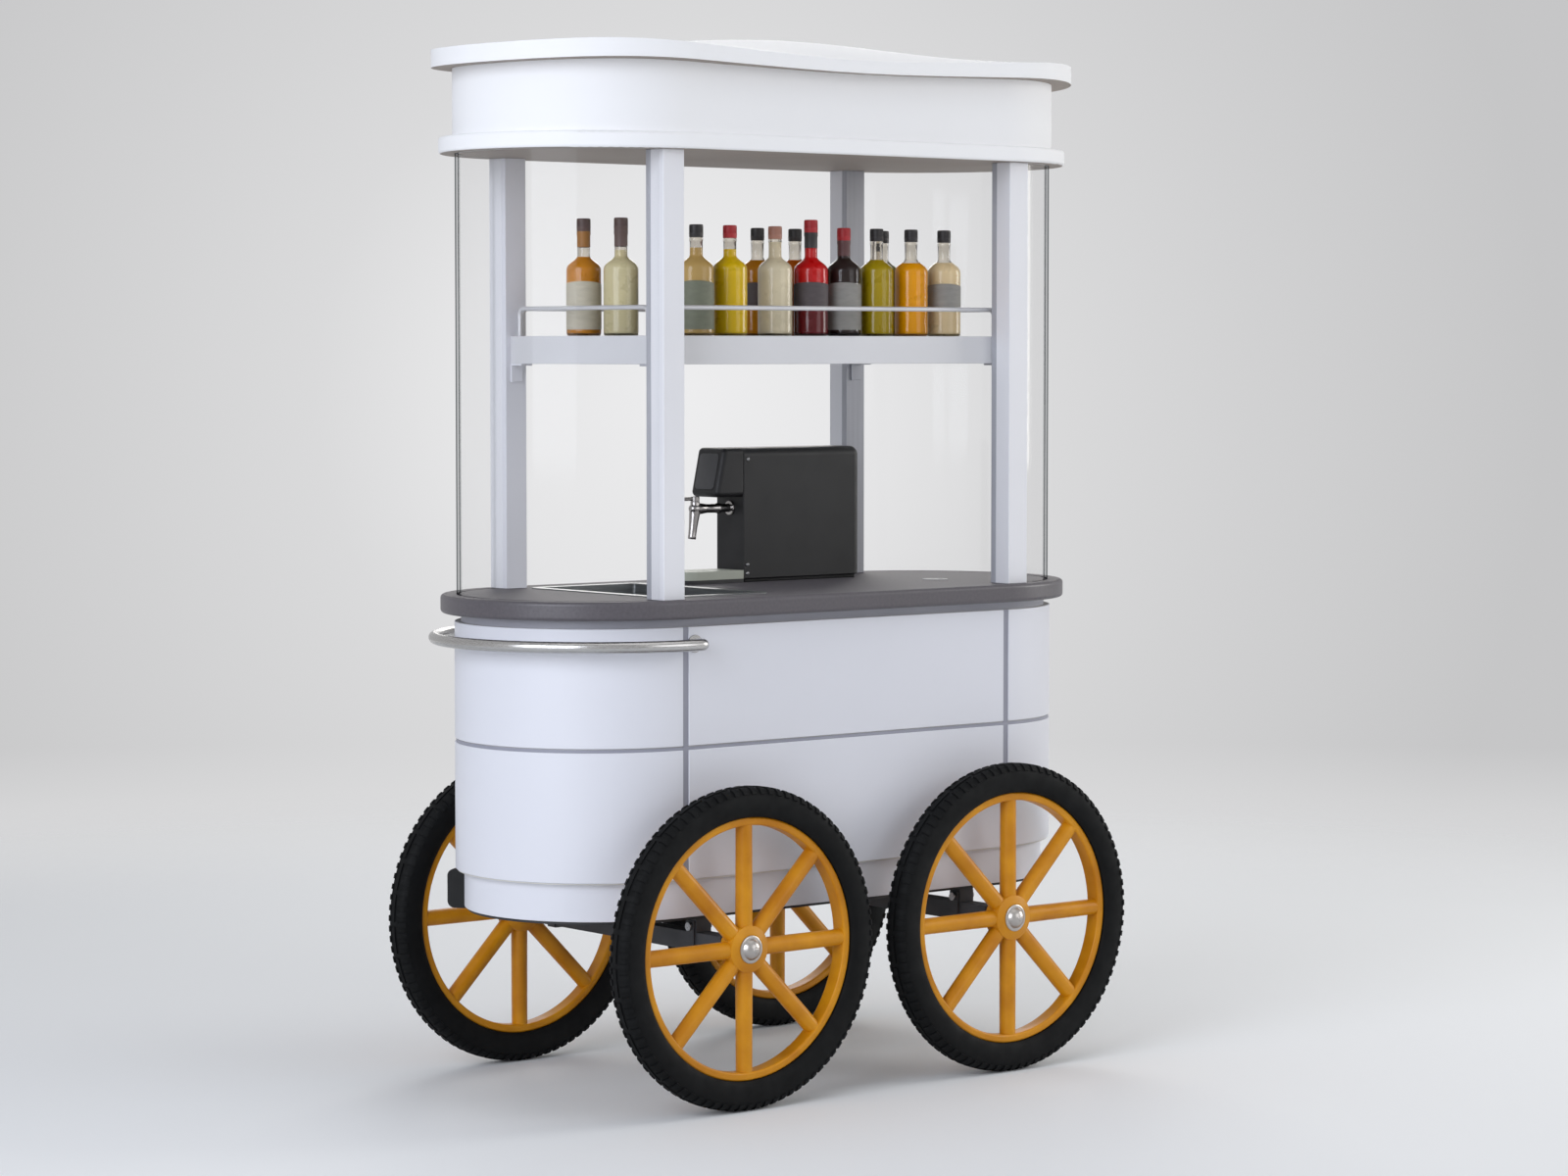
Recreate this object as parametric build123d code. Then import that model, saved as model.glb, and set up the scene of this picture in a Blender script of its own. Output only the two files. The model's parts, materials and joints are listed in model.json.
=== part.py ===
from build123d import *
import os
from math import atan2, degrees

# A four-wheeled cocktail cart, in millimetres, +Z up. The origin is on the floor under its middle,
# +X is the long axis away from the push handle, and -Y is the side that faces the guests.

# Wheels
WHEEL_D = 690.0
TYRE_DEPTH = 64.5
TYRE_W = 62.0
TYRE_SEAT_W = 44.0
TREAD_W = 40.0
SHOULDER_W = 59.5
SHOULDER_DROP = 3.2
SHOULDER_REACH = 5.2
BEAD_SWELL_W = 57.7
BEAD_SWELL_SHARE = 0.45
RIM_DEPTH = 18.0
RIM_W = 38.0
RIM_ROUND = 5.0
SPOKE_COUNT = 8
SPOKE_ROOT_D = 37.0
SPOKE_TIP_D = 35.5
SPOKE_SINK = 3.0
HUB_BAND = 38.0
HUB_R = 50.0
HUB_END_R = 33.0
HUB_IN = 30.0
HUB_OUT = 24.0
TRACK = 808.0
WHEELBASE = 760.0

# Bearings, axles and what holds them
BEARING_OD = 47.0
BEARING_BORE = 20.0
BEARING_W = 14.0
BEARING_RING_T = 4.0
BEARING_SEAL_DEPTH = 1.0
BEARING_SET = 0.5
RUN_CLEAR = 0.05
FACE_CLEAR = 0.3
SEAT_CLEAR = 0.02
AXLE_BEAM = 40.0
AXLE_COLLAR_D = 30.0
AXLE_COLLAR_L = 24.0
AXLE_PROUD = 2.0
NUT_AF = 27.0
NUT_T = 9.0
CAP_R = 25.0
CAP_FLANGE_R = 30.0
CAP_FLANGE_T = 2.0
CAP_WALL = 2.5
CAP_RISE = 19.0
HANGER_H = 33.0
HANGER_W = 34.0
HANGER_INSET = 35.0
CLAMP_T = 4.0
CLAMP_W = 26.0
CLAMP_RISE = 24.0
CLAMP_BOLT_D = 10.0
CLAMP_HEAD_D = 18.0
CLAMP_HEAD_T = 6.0
HOLE_CLEAR = 0.3

# Plan of the body and canopy: straight sides joined by half-round ends
STRAIGHT = 920.0
BODY_R = 310.0
PAN_INSET = 25.0
SKIRT_INSET = 19.0
NECK_INSET = 14.0
COUNTER_OVERHANG = 30.0
CORNICE_OVERHANG = 30.0
FASCIA_INSET = 30.0
ROOF_OVERHANG = 45.0
GLASS_INSET = 35.0

# Walls and levels of the body
PAN_T = 6.0
SKIRT_H = 81.0
SKIRT_T = 12.0
DECK_T = 15.0
CABINET_H = 540.0
CARCASS_T = 20.0
PANEL_T = 4.0
PANEL_FOOT_GAP = 3.0
BELT_RISE = 283.0
BELT_GAP = 8.5
SEAM_W = 15.0
SEAM_T = 1.5
NECK_H = 18.0
NECK_T = 20.0
RAIL_W = 40.0
RAIL_Y = 180.0
CROSS_W = 50.0
CHASSIS_INSET = 15.0
CHANNEL_T = 4.0

# Service flap on the attendant's side
FLAP_GAP = 1.5
FLAP_RIM = 22.0
FLAP_RIM_DEPTH = 12.0
FLAP_RIM_WALL = 14.0
FLAP_RIM_CLEAR = 3.0
STILE_W = 50.0
KNOB_D = 22.0
KNOB_STEM_D = 13.2
KNOB_ROUND = 4.0
KNOB_L = 20.0
KNOB_RISE = 30.0
HINGE_R = 4.0
HINGE_PIN_D = 4.0
HINGE_LEAF_T = 1.5
HINGE_LEAF_W = 22.0
HINGE_KNUCKLE_L = 40.0
HINGE_END_GAP = 0.4
HINGE_L = 840.0
HINGE_OUT = 2.0
HINGE_RISE = 6.0

# Counter, sink and what is under it
COUNTER_T = 40.0
COUNTER_EDGE = 8.0
SINK_X = -320.0
SINK_L = 258.0
SINK_W = 438.0
SINK_CORNER = 9.0
SINK_DEPTH = 160.0
SINK_WALL = 2.0
SINK_RIM = 12.0
SINK_RIM_T = 2.0
SINK_CLEAR = 13.0
WASTE_D = 38.0
WASTE_BORE = 30.0
WASTE_FLANGE_D = 64.0
WASTE_FLANGE_T = 2.0
TANK_L = 260.0
TANK_W = 220.0
TANK_H = 200.0
TANK_WALL = 4.0
TANK_ROUND = 24.0
TANK_NECK_H = 24.0
TANK_NECK_D = 60.0
TANK_NECK_BORE = 44.0
WASTE_REACH = 12.0
GROMMET_X = 450.0
GROMMET_Y = -80.0
GROMMET_D = 60.0
GROMMET_LIP_T = 2.0
GROMMET_BORE = 50.0
GROMMET_ROUND = 1.2

# Push handle and lashing lug
HANDLE_D = 25.0
HANDLE_GAP = 31.0
HANDLE_BEND = 21.0
HANDLE_DROP = 36.0
HANDLE_LEG_IN = 22.0
HANDLE_FLANGE_D = 38.0
HANDLE_FLANGE_T = 3.0
LUG_ANGLE = 126.0
LUG_REACH = 50.0
LUG_T = 34.0
LUG_H = 86.0
LUG_LOW = 18.0
LUG_ROUND = 16.0
LUG_BORE_D = 16.0
LUG_FIT = 0.2

# Posts, glass and bottle shelf
OPEN_H = 947.0
POST_X_OUT = 33.0
POST_W = 56.0
POST_DEPTH = 44.0
POST_INSET = 28.0
POST_WALL = 3.0
LINER_DEPTH = 16.0
GLASS_T = 6.0
GLASS_GROOVE = 6.0
GLASS_CLEAR = 0.5
SHELF_RISE = 496.0
SHELF_T = 61.0
SHELF_SKIN = 4.0
SHELF_END = 13.0
BRACKET_LEG = 40.0
BRACKET_T = 4.0
RAIL_D = 10.0
RAIL_RISE = 60.0
RAIL_BEND = 14.0
RAIL_END_INSET = 10.0
RAIL_SIDE_INSET = 12.0
RAIL_END_STOP = 22.0
RAIL_SIDE_STOP = 25.0

# Bottles: front row along the guests' edge, a short back row and a pair at the handle end
BOTTLE_R = 38.0
BOTTLE_FOOT_ROUND = 5.0
BOTTLE_BODY_H = 138.0
BOTTLE_SHOULDER_H = 36.0
BOTTLE_NECK_R = 14.0
BOTTLE_CAP_R = 15.5
BOTTLE_CAP_H = 28.0
BOTTLE_CAP_ROUND = 2.0
FRONT_ROW_STEPS = (0.03, 1.0, 2.0, 2.94, 3.87, 4.87, 6.11, 7.02)
FRONT_ROW_PITCH = 102.7
FRONT_ROW_END = 84.0
FRONT_ROW_Y = -140.0
TALL_IN_FRONT_ROW = 4
BACK_ROW_Y = -20.0
BACK_ROW_STEPS = (0.82, 3.34, 4.4)
PAIR_END_INSETS = (88.0, 114.0)
PAIR_Y = (100.0, 0.0)
BOTTLE_H_TALL = 256.0
BOTTLE_H_SHORT = 240.0

# Canopy
CORNICE_T = 35.0
CORNICE_EDGE = 6.0
FASCIA_T = 14.0
FASCIA_H = 157.0
ROOF_EDGE_T = 38.0
ROOF_DIP = 17.0
ROOF_DIP_TOP = 35.0
ROOF_TIP_DROP = 12.0
ROOF_CROWN = 72.0
ROOF_WAVE_SHARE = 0.42
ROOF_SPARE = 20.0

# Drinks dispenser, its tap and drip tray
DISP_X = 40.0
DISP_Y = 112.0
DISP_L = 350.0
DISP_W = 98.0
DISP_H = 297.0
DISP_ROUND = 20.0
FOOT_H = 8.0
FOOT_INSET = 10.0
HEAD_H = 111.0
HEAD_TOP_OUT = 56.0
HEAD_LOW_OUT = 80.0
HEAD_ROUND = 12.0
TRAY_L = 176.0
TRAY_H = 28.0
TRAY_WALL = 2.5
GRID_T = 4.0
GRID_SLOT_W = 5.0
GRID_SLOT_PITCH = 14.0
GRID_SLOT_COUNT = 8
GRID_SLOT_L = 62.0
TAP_RISE = 168.0
TAP_REACH = 102.0
TAP_D = 20.0
TAP_FLANGE_D = 34.0
TAP_FLANGE_T = 5.0
TAP_BODY_D = 26.0
TAP_BODY_H = 34.0
TAP_BODY_ROUND = 2.0
SPOUT_TOP_D = 18.0
SPOUT_TIP_D = 15.0
SPOUT_L = 52.0
SPOUT_BORE = 9.0
SPINDLE_D = 10.0
SPINDLE_L = 18.0
LEVER_L = 40.0
LEVER_D = 9.0
LEVER_BOSS_D = 20.0
LEVER_BOSS_H = 11.0
LEVER_LIFT = 0.4
LEVER_BOSS_ROUND = 3.0
LEVER_TIP_ROUND = 3.6

# Levels and places worked out from the sizes above
PAN_R = BODY_R - PAN_INSET
SKIRT_R = BODY_R - SKIRT_INSET
NECK_R = BODY_R - NECK_INSET
COUNTER_R = BODY_R + COUNTER_OVERHANG
CORNICE_R = BODY_R + CORNICE_OVERHANG
FASCIA_R = CORNICE_R - FASCIA_INSET
ROOF_R = FASCIA_R + ROOF_OVERHANG
GLASS_R = COUNTER_R - GLASS_INSET
HANGER_Y = PAN_R - HANGER_INSET
AXLE_Z = WHEEL_D / 2
RIM_R = WHEEL_D / 2 - TYRE_DEPTH
HALF_TRACK = TRACK / 2
HUB_END_Y = HALF_TRACK + HUB_OUT
HUB_START_Y = HALF_TRACK - HUB_IN
COLLAR_Y = HUB_START_Y + BEARING_SET
NUT_Y = HUB_END_Y - BEARING_SET
PAN_Z = AXLE_Z + AXLE_BEAM / 2 + HANGER_H
SKIRT_Z = PAN_Z + PAN_T
DECK_Z = SKIRT_Z + SKIRT_H
CARCASS_Z = DECK_Z + DECK_T
BODY_TOP = DECK_Z + CABINET_H
BELT_Z = DECK_Z + BELT_RISE
CARCASS_R = BODY_R - PANEL_T
COUNTER_Z = BODY_TOP + NECK_H
COUNTER_TOP = COUNTER_Z + COUNTER_T
CORNICE_Z = COUNTER_TOP + OPEN_H
CORNICE_TOP = CORNICE_Z + CORNICE_T
ROOF_Z = CORNICE_TOP + FASCIA_H
SHELF_Z = COUNTER_TOP + SHELF_RISE
SHELF_TOP = SHELF_Z + SHELF_T
SEAM_X = STRAIGHT / 2
PANEL_X = SEAM_X - SEAM_W / 2
POST_X = SEAM_X + POST_X_OUT
POST_FACE = COUNTER_R - POST_INSET
POST_BACK = POST_FACE - POST_DEPTH
LINER_FACE = POST_BACK - LINER_DEPTH
SHELF_X = POST_X + POST_W / 2 - SHELF_END
FLAP_X0 = -PANEL_X + STILE_W
FLAP_X1 = PANEL_X - FLAP_GAP
FLAP_Z0 = BELT_Z + BELT_GAP / 2
FLAP_Z1 = BODY_TOP - FLAP_GAP
HINGE_Y = BODY_R + HINGE_OUT
HINGE_Z = BODY_TOP + HINGE_RISE
HINGE_X = (FLAP_X0 + FLAP_X1) / 2
TAP_Z = COUNTER_TOP + TAP_RISE
TAP_Y = DISP_Y + DISP_W / 2
SPOUT_X = DISP_X - TAP_REACH
CUT_REACH = 2000.0

nodes = {}


def block(x0, x1, y0, y1, z0, z1):
    """Box between two corners."""
    centre = ((x0 + x1) / 2, (y0 + y1) / 2, (z0 + z1) / 2)
    return Pos(*centre) * Box(x1 - x0, y1 - y0, z1 - z0)


def prism(radius, z0, z1):
    """Upright prism on the cart's plan, straight sides and half-round ends."""
    return extrude(Pos(0, 0, z0) * SlotCenterToCenter(STRAIGHT, 2 * radius), z1 - z0)


def ring(radius, wall, z0, z1):
    """Upright wall that runs all round the plan."""
    return prism(radius, z0, z1) - prism(radius - wall, z0, z1)


def rod(radius, length, x, y, z, axis="Z"):
    """Cylinder that starts at a point and runs along a positive axis."""
    turn = {"X": Rot(0, 90, 0), "Y": Rot(-90, 0, 0), "Z": Rot(0, 0, 0)}[axis]
    return Pos(x, y, z) * turn * Cylinder(radius, length, align=(Align.CENTER, Align.CENTER, Align.MIN))


def group(parts):
    """Several separate solids in one node."""
    return Compound([solid for part in parts for solid in part.solids()])


def mirror_xy(part):
    """The part and its copies across both middle planes."""
    pair = [part, mirror(part, Plane.YZ)]
    return group(pair + [mirror(each, Plane.XZ) for each in pair])


def tyre_section():
    """Rounded tyre section, flat on the rim, from bead to bead."""
    low, high = RIM_R, WHEEL_D / 2
    belly = (low + high) / 2
    shoulder = high - (TYRE_W - TREAD_W) / 2
    swell = low + (belly - low) * BEAD_SWELL_SHARE
    edges = [Line((low, HALF_TRACK - TYRE_SEAT_W / 2), (low, HALF_TRACK + TYRE_SEAT_W / 2))]
    for side in (1, -1):
        seat_y = HALF_TRACK + side * TYRE_SEAT_W / 2
        swell_y = HALF_TRACK + side * BEAD_SWELL_W / 2
        belly_y = HALF_TRACK + side * TYRE_W / 2
        shoulder_y = HALF_TRACK + side * SHOULDER_W / 2
        tread_y = HALF_TRACK + side * TREAD_W / 2
        corner = (high - SHOULDER_DROP, tread_y + side * SHOULDER_REACH)
        edges.append(ThreePointArc((low, seat_y), (swell, swell_y), (belly, belly_y)))
        edges.append(Line((belly, belly_y), (shoulder, shoulder_y)))
        edges.append(ThreePointArc((shoulder, shoulder_y), corner, (high, tread_y)))
    edges.append(Line((high, HALF_TRACK + TREAD_W / 2), (high, HALF_TRACK - TREAD_W / 2)))
    return make_face(edges)


def tyre(x, side):
    solid = revolve(tyre_section(), Axis.Y)
    return Pos(x, 0, AXLE_Z) * (mirror(solid, Plane.XZ) if side < 0 else solid)


def spoked_wheel(x, side):
    """Rim, round tapered spokes and a bored hub, made as one piece."""
    mid = HALF_TRACK
    rim_face = Pos(RIM_R - RIM_DEPTH / 2, mid) * RectangleRounded(RIM_DEPTH, RIM_W, RIM_ROUND)
    rim = revolve(rim_face, Axis.Y)
    hub_points = [
        (0, HUB_START_Y), (HUB_END_R, HUB_START_Y), (HUB_R, mid - HUB_BAND / 2),
        (HUB_R, mid + HUB_BAND / 2), (HUB_END_R, HUB_END_Y), (0, HUB_END_Y),
    ]
    hub = revolve(make_face(Polyline(*hub_points, close=True)), Axis.Y)
    root = HUB_R - SPOKE_SINK
    length = RIM_R - RIM_DEPTH / 2 - root
    spoke = Cone(SPOKE_ROOT_D / 2, SPOKE_TIP_D / 2, length, align=(Align.CENTER, Align.CENTER, Align.MIN))
    step = 360 / SPOKE_COUNT
    spokes = [Pos(0, mid, 0) * Rot(0, step * i, 0) * Pos(0, 0, root) * spoke for i in range(SPOKE_COUNT)]
    wheel = rim + [hub] + spokes
    seat_r = BEARING_OD / 2 + RUN_CLEAR
    seat_l = BEARING_SET + BEARING_W + FACE_CLEAR
    wheel -= rod(BEARING_OD / 2 - BEARING_RING_T, HUB_IN + HUB_OUT, 0, HUB_START_Y, 0, "Y")
    wheel -= rod(seat_r, seat_l, 0, HUB_START_Y, 0, "Y")
    wheel -= rod(seat_r, seat_l, 0, HUB_END_Y - seat_l, 0, "Y")
    return Pos(x, 0, AXLE_Z) * (mirror(wheel, Plane.XZ) if side < 0 else wheel)


def dome_arc(radius, rise):
    """Quarter outline of a round dome on the hub's outer face, from its foot to its crown."""
    sphere_r = (radius ** 2 + rise ** 2) / (2 * rise)
    centre_y = HUB_END_Y + rise - sphere_r
    foot_angle = degrees(atan2(HUB_END_Y - centre_y, radius))
    return CenterArc((0, centre_y), sphere_r, foot_angle, 90 - foot_angle)


def hub_cap(x, side):
    """Domed cap with a flange that sits on the hub's outer face."""
    base = HUB_END_Y
    outer = dome_arc(CAP_R, CAP_RISE)
    inner = dome_arc(CAP_R - CAP_WALL, CAP_RISE - CAP_WALL)
    dome = make_face([outer, Line(outer @ 1, inner @ 1), inner, Line(inner @ 0, outer @ 0)])
    seat_r = CAP_R - CAP_WALL
    flange_points = [
        (seat_r, base), (CAP_FLANGE_R, base),
        (CAP_FLANGE_R, base + CAP_FLANGE_T), (CAP_R - CAP_WALL / 2, base + CAP_FLANGE_T),
    ]
    flange = make_face(Polyline(*flange_points, close=True))
    solid = revolve(dome, Axis.Y) + revolve(flange, Axis.Y)
    return Pos(x, 0, AXLE_Z) * (mirror(solid, Plane.XZ) if side < 0 else solid)


def bearing(x, y0):
    """Sealed ball bearing between journal and hub, with its shields set back from both faces."""
    body = rod(BEARING_OD / 2, BEARING_W, x, y0, AXLE_Z, "Y")
    bore = rod(BEARING_BORE / 2 + SEAT_CLEAR, BEARING_W, x, y0, AXLE_Z, "Y")
    shield_out = BEARING_OD / 2 - BEARING_RING_T
    shield_in = BEARING_BORE / 2 + BEARING_RING_T
    for start in (y0, y0 + BEARING_W - BEARING_SEAL_DEPTH):
        recess = rod(shield_out, BEARING_SEAL_DEPTH, x, start, AXLE_Z, "Y")
        body -= recess - rod(shield_in, BEARING_SEAL_DEPTH, x, start, AXLE_Z, "Y")
    return body - bore


def axle(x):
    """Square axle bar with a collar and a turned journal at each end."""
    beam_end = HUB_START_Y - AXLE_COLLAR_L
    half = AXLE_BEAM / 2
    beam = block(x - half, x + half, -beam_end, beam_end, AXLE_Z - half, AXLE_Z + half)
    journal_end = NUT_Y + NUT_T + AXLE_PROUD
    collar = rod(AXLE_COLLAR_D / 2, 2 * COLLAR_Y, x, -COLLAR_Y, AXLE_Z, "Y")
    journal = rod(BEARING_BORE / 2, 2 * journal_end, x, -journal_end, AXLE_Z, "Y")
    return beam + collar + journal


def axle_nut(x):
    """Hexagon nut on the journal, under the hub cap."""
    hexagon = extrude(RegularPolygon(NUT_AF / 2, 6, major_radius=False), NUT_T)
    solid = hexagon - Cylinder(BEARING_BORE / 2 + SEAT_CLEAR, 4 * NUT_T)
    return Pos(x, NUT_Y, AXLE_Z) * Rot(-90, 0, 0) * solid


def axle_hanger(x):
    """Block that carries the axle bar under the floor pan, with a cross hole for the clamp bolt."""
    half = AXLE_BEAM / 2
    y0, y1 = HANGER_Y - HANGER_W / 2, HANGER_Y + HANGER_W / 2
    solid = block(x - half, x + half, y0, y1, PAN_Z - HANGER_H, PAN_Z)
    return solid - clamp_bolt_bore(x)


def clamp_bolt_z():
    return AXLE_Z + AXLE_BEAM / 2 + CLAMP_RISE / 2


def clamp_bolt_bore(x):
    half = AXLE_BEAM / 2 + CLAMP_T
    return rod(CLAMP_BOLT_D / 2 + HOLE_CLEAR, 2 * half, x - half, HANGER_Y, clamp_bolt_z(), "X")


def axle_clamp(x):
    """U-shaped strap that holds the axle bar up against its hanger."""
    half = AXLE_BEAM / 2
    top = AXLE_Z + half + CLAMP_RISE
    low = AXLE_Z - half
    y0, y1 = HANGER_Y - CLAMP_W / 2, HANGER_Y + CLAMP_W / 2
    outer = block(x - half - CLAMP_T, x + half + CLAMP_T, y0, y1, low - CLAMP_T, top)
    outer = fillet(outer.edges().filter_by(Axis.Y).group_by(Axis.Z)[0], CLAMP_T)
    return outer - block(x - half, x + half, y0, y1, low, top) - clamp_bolt_bore(x)


def clamp_bolt(x):
    """Cross bolt with a head and a nut on the strap's two legs."""
    half = AXLE_BEAM / 2 + CLAMP_T
    z = clamp_bolt_z()
    shank = rod(CLAMP_BOLT_D / 2, 2 * half, x - half, HANGER_Y, z, "X")
    head = rod(CLAMP_HEAD_D / 2, CLAMP_HEAD_T, x - half - CLAMP_HEAD_T, HANGER_Y, z, "X")
    nut = rod(CLAMP_HEAD_D / 2, CLAMP_HEAD_T, x + half, HANGER_Y, z, "X")
    return shank + head + nut


def channel(x0, x1, y0, y1):
    """Solid bar of the frame and the room to cut from it, which leaves a channel open at the bottom."""
    t = CHANNEL_T
    room = block(x0 + t, x1 - t, y0 + t, y1 - t, SKIRT_Z, DECK_Z - t)
    return block(x0, x1, y0, y1, SKIRT_Z, DECK_Z), room


def chassis_frame():
    """Welded ladder frame of folded channels that stands in the skirt, from floor pan to deck."""
    half_x = SEAM_X - CHASSIS_INSET
    half_y = SKIRT_R - SKIRT_T - CHASSIS_INSET
    bars = [channel(-half_x, half_x, y - RAIL_W / 2, y + RAIL_W / 2) for y in (-RAIL_Y, RAIL_Y)]
    for x in (-WHEELBASE / 2, 0, WHEELBASE / 2):
        bars.append(channel(x - CROSS_W / 2, x + CROSS_W / 2, -half_y, half_y))
    frame = bars[0][0] + [solid for solid, room in bars[1:]]
    for solid, room in bars:
        frame -= room
    return frame


def skin(x0, x1, y0, y1, z0, z1):
    """Piece of the outer panelling, cut from the wall that runs all round."""
    return ring(BODY_R, PANEL_T, z0, z1) & block(x0, x1, y0, y1, z0, z1)


def seam_strips():
    """Recessed trim that closes the joints between the panels: a belt all round and four uprights."""
    z0 = DECK_Z + PANEL_FOOT_GAP
    face = CARCASS_R + SEAM_T
    wall = ring(face, SEAM_T, z0, BODY_TOP)
    x0, x1 = SEAM_X - SEAM_W / 2, SEAM_X + SEAM_W / 2
    belt = ring(face, SEAM_T, BELT_Z - BELT_GAP / 2, FLAP_Z0 - FLAP_GAP)
    return belt + mirror_xy(wall & block(x0, x1, 0, CUT_REACH, z0, BODY_TOP)).solids()


def flap_opening(clear):
    """Access hole behind the flap, or with a clearance the rim that enters it."""
    x0 = FLAP_X0 + FLAP_RIM + clear
    x1 = FLAP_X1 - FLAP_RIM - clear
    return x0, x1, FLAP_Z0 + FLAP_RIM + clear, FLAP_Z1 - FLAP_RIM - clear


def carcass():
    """Structural wall of the cabinet, with the access hole on the attendant's side."""
    x0, x1, z0, z1 = flap_opening(0)
    return ring(CARCASS_R, CARCASS_T, CARCASS_Z, BODY_TOP) - block(x0, x1, 0, CUT_REACH, z0, z1)


def service_flap():
    """Flat flap skin with a stiffening rim behind it that enters the access hole."""
    plate = block(FLAP_X0, FLAP_X1, CARCASS_R, BODY_R, FLAP_Z0, FLAP_Z1)
    x0, x1, z0, z1 = flap_opening(FLAP_RIM_CLEAR)
    wall = FLAP_RIM_WALL
    rim = block(x0, x1, CARCASS_R - FLAP_RIM_DEPTH, CARCASS_R, z0, z1)
    rim -= block(x0 + wall, x1 - wall, CARCASS_R - FLAP_RIM_DEPTH, CARCASS_R, z0 + wall, z1 - wall)
    return plate + rim


def flap_knob():
    """Turned pull knob near the flap's lower edge."""
    z = FLAP_Z0 + KNOB_RISE
    stem = rod(KNOB_STEM_D / 2, KNOB_L, HINGE_X, BODY_R, z, "Y")
    head = rod(KNOB_D / 2, KNOB_L / 2, HINGE_X, BODY_R + KNOB_L / 2, z, "Y")
    head = fillet(head.edges(), KNOB_ROUND)
    return stem + head


def knuckles(first):
    """Every second barrel of the hinge, bored for the pin."""
    count = int(HINGE_L // HINGE_KNUCKLE_L)
    start = HINGE_X - count * HINGE_KNUCKLE_L / 2
    barrels = []
    for i in range(first, count, 2):
        x = start + i * HINGE_KNUCKLE_L + HINGE_END_GAP / 2
        barrels.append(rod(HINGE_R, HINGE_KNUCKLE_L - HINGE_END_GAP, x, HINGE_Y, HINGE_Z, "X"))
    return barrels, start, count * HINGE_KNUCKLE_L


def pin_bore(start, length, clear):
    return rod(HINGE_PIN_D / 2 + clear, length, start, HINGE_Y, HINGE_Z, "X")


def hinge_base():
    """Fixed hinge leaf on top of the cabinet wall, with its barrels."""
    barrels, start, length = knuckles(0)
    leaf = block(start, start + length, NECK_R, HINGE_Y, BODY_TOP, BODY_TOP + HINGE_LEAF_T)
    tabs = []
    for barrel in barrels:
        box = barrel.bounding_box()
        tabs.append(block(box.min.X, box.max.X, HINGE_Y - HINGE_R, HINGE_Y, BODY_TOP, HINGE_Z))
    cut_y = HINGE_Y - HINGE_R - HINGE_END_GAP
    leaf &= block(start, start + length, NECK_R, cut_y, BODY_TOP, HINGE_Z)
    bridges = []
    for barrel in barrels:
        box = barrel.bounding_box()
        bridges.append(block(box.min.X, box.max.X, cut_y, HINGE_Y, BODY_TOP, BODY_TOP + HINGE_LEAF_T))
    solid = leaf + barrels + tabs + bridges
    return solid - pin_bore(start, length, SEAT_CLEAR)


def hinge_leaf():
    """Moving hinge leaf on the flap's outer face, with its barrels."""
    barrels, start, length = knuckles(1)
    top = HINGE_Z - HINGE_R - HINGE_END_GAP
    face = BODY_R + HINGE_LEAF_T
    leaf = block(start, start + length, BODY_R, face, FLAP_Z1 - HINGE_LEAF_W, FLAP_Z1)
    tabs = []
    for barrel in barrels:
        box = barrel.bounding_box()
        tabs.append(block(box.min.X, box.max.X, BODY_R, face, top - HINGE_R, HINGE_Z))
    solid = leaf + barrels + tabs
    return solid - pin_bore(start, length, RUN_CLEAR)


def hinge_pin():
    barrels, start, length = knuckles(0)
    return pin_bore(start, length, 0)


def sink_outline(grow):
    return Pos(SINK_X, 0) * RectangleRounded(SINK_L + 2 * grow, SINK_W + 2 * grow, SINK_CORNER + grow)


def counter_top():
    """Thick counter with glass grooves and a grommet hole, jointed from four slabs around the sink's cut-out."""
    slab = prism(COUNTER_R, COUNTER_Z, COUNTER_TOP)
    rims = slab.edges().group_by(Axis.Z)
    slab = fillet(rims[0] + rims[-1], COUNTER_EDGE)
    slab -= rod(GROMMET_BORE / 2 + HOLE_CLEAR, COUNTER_T, GROMMET_X, GROMMET_Y, COUNTER_Z)
    slab -= glass_grooves(COUNTER_TOP - GLASS_GROOVE, COUNTER_TOP)
    x0 = SINK_X - SINK_L / 2 - SINK_CLEAR
    x1 = SINK_X + SINK_L / 2 + SINK_CLEAR
    y1 = SINK_W / 2 + SINK_CLEAR
    left = slab & block(-CUT_REACH, x0, -CUT_REACH, CUT_REACH, COUNTER_Z, COUNTER_TOP)
    right = slab & block(x1, CUT_REACH, -CUT_REACH, CUT_REACH, COUNTER_Z, COUNTER_TOP)
    front = slab & block(x0, x1, -CUT_REACH, -y1, COUNTER_Z, COUNTER_TOP)
    back = slab & block(x0, x1, y1, CUT_REACH, COUNTER_Z, COUNTER_TOP)
    return group([left, right, front, back])


def end_wall(radius, wall, z0, z1):
    """Curved wall at both ends, from post to post."""
    x = POST_X + POST_W / 2
    wall_all = ring(radius, wall, z0, z1)
    return [wall_all & block(-CUT_REACH, -x - GLASS_CLEAR, -CUT_REACH, CUT_REACH, z0, z1),
            wall_all & block(x + GLASS_CLEAR, CUT_REACH, -CUT_REACH, CUT_REACH, z0, z1)]


def glass_grooves(z0, z1):
    left, right = end_wall(GLASS_R + GLASS_CLEAR, GLASS_T + 2 * GLASS_CLEAR, z0, z1)
    return left + right


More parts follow.
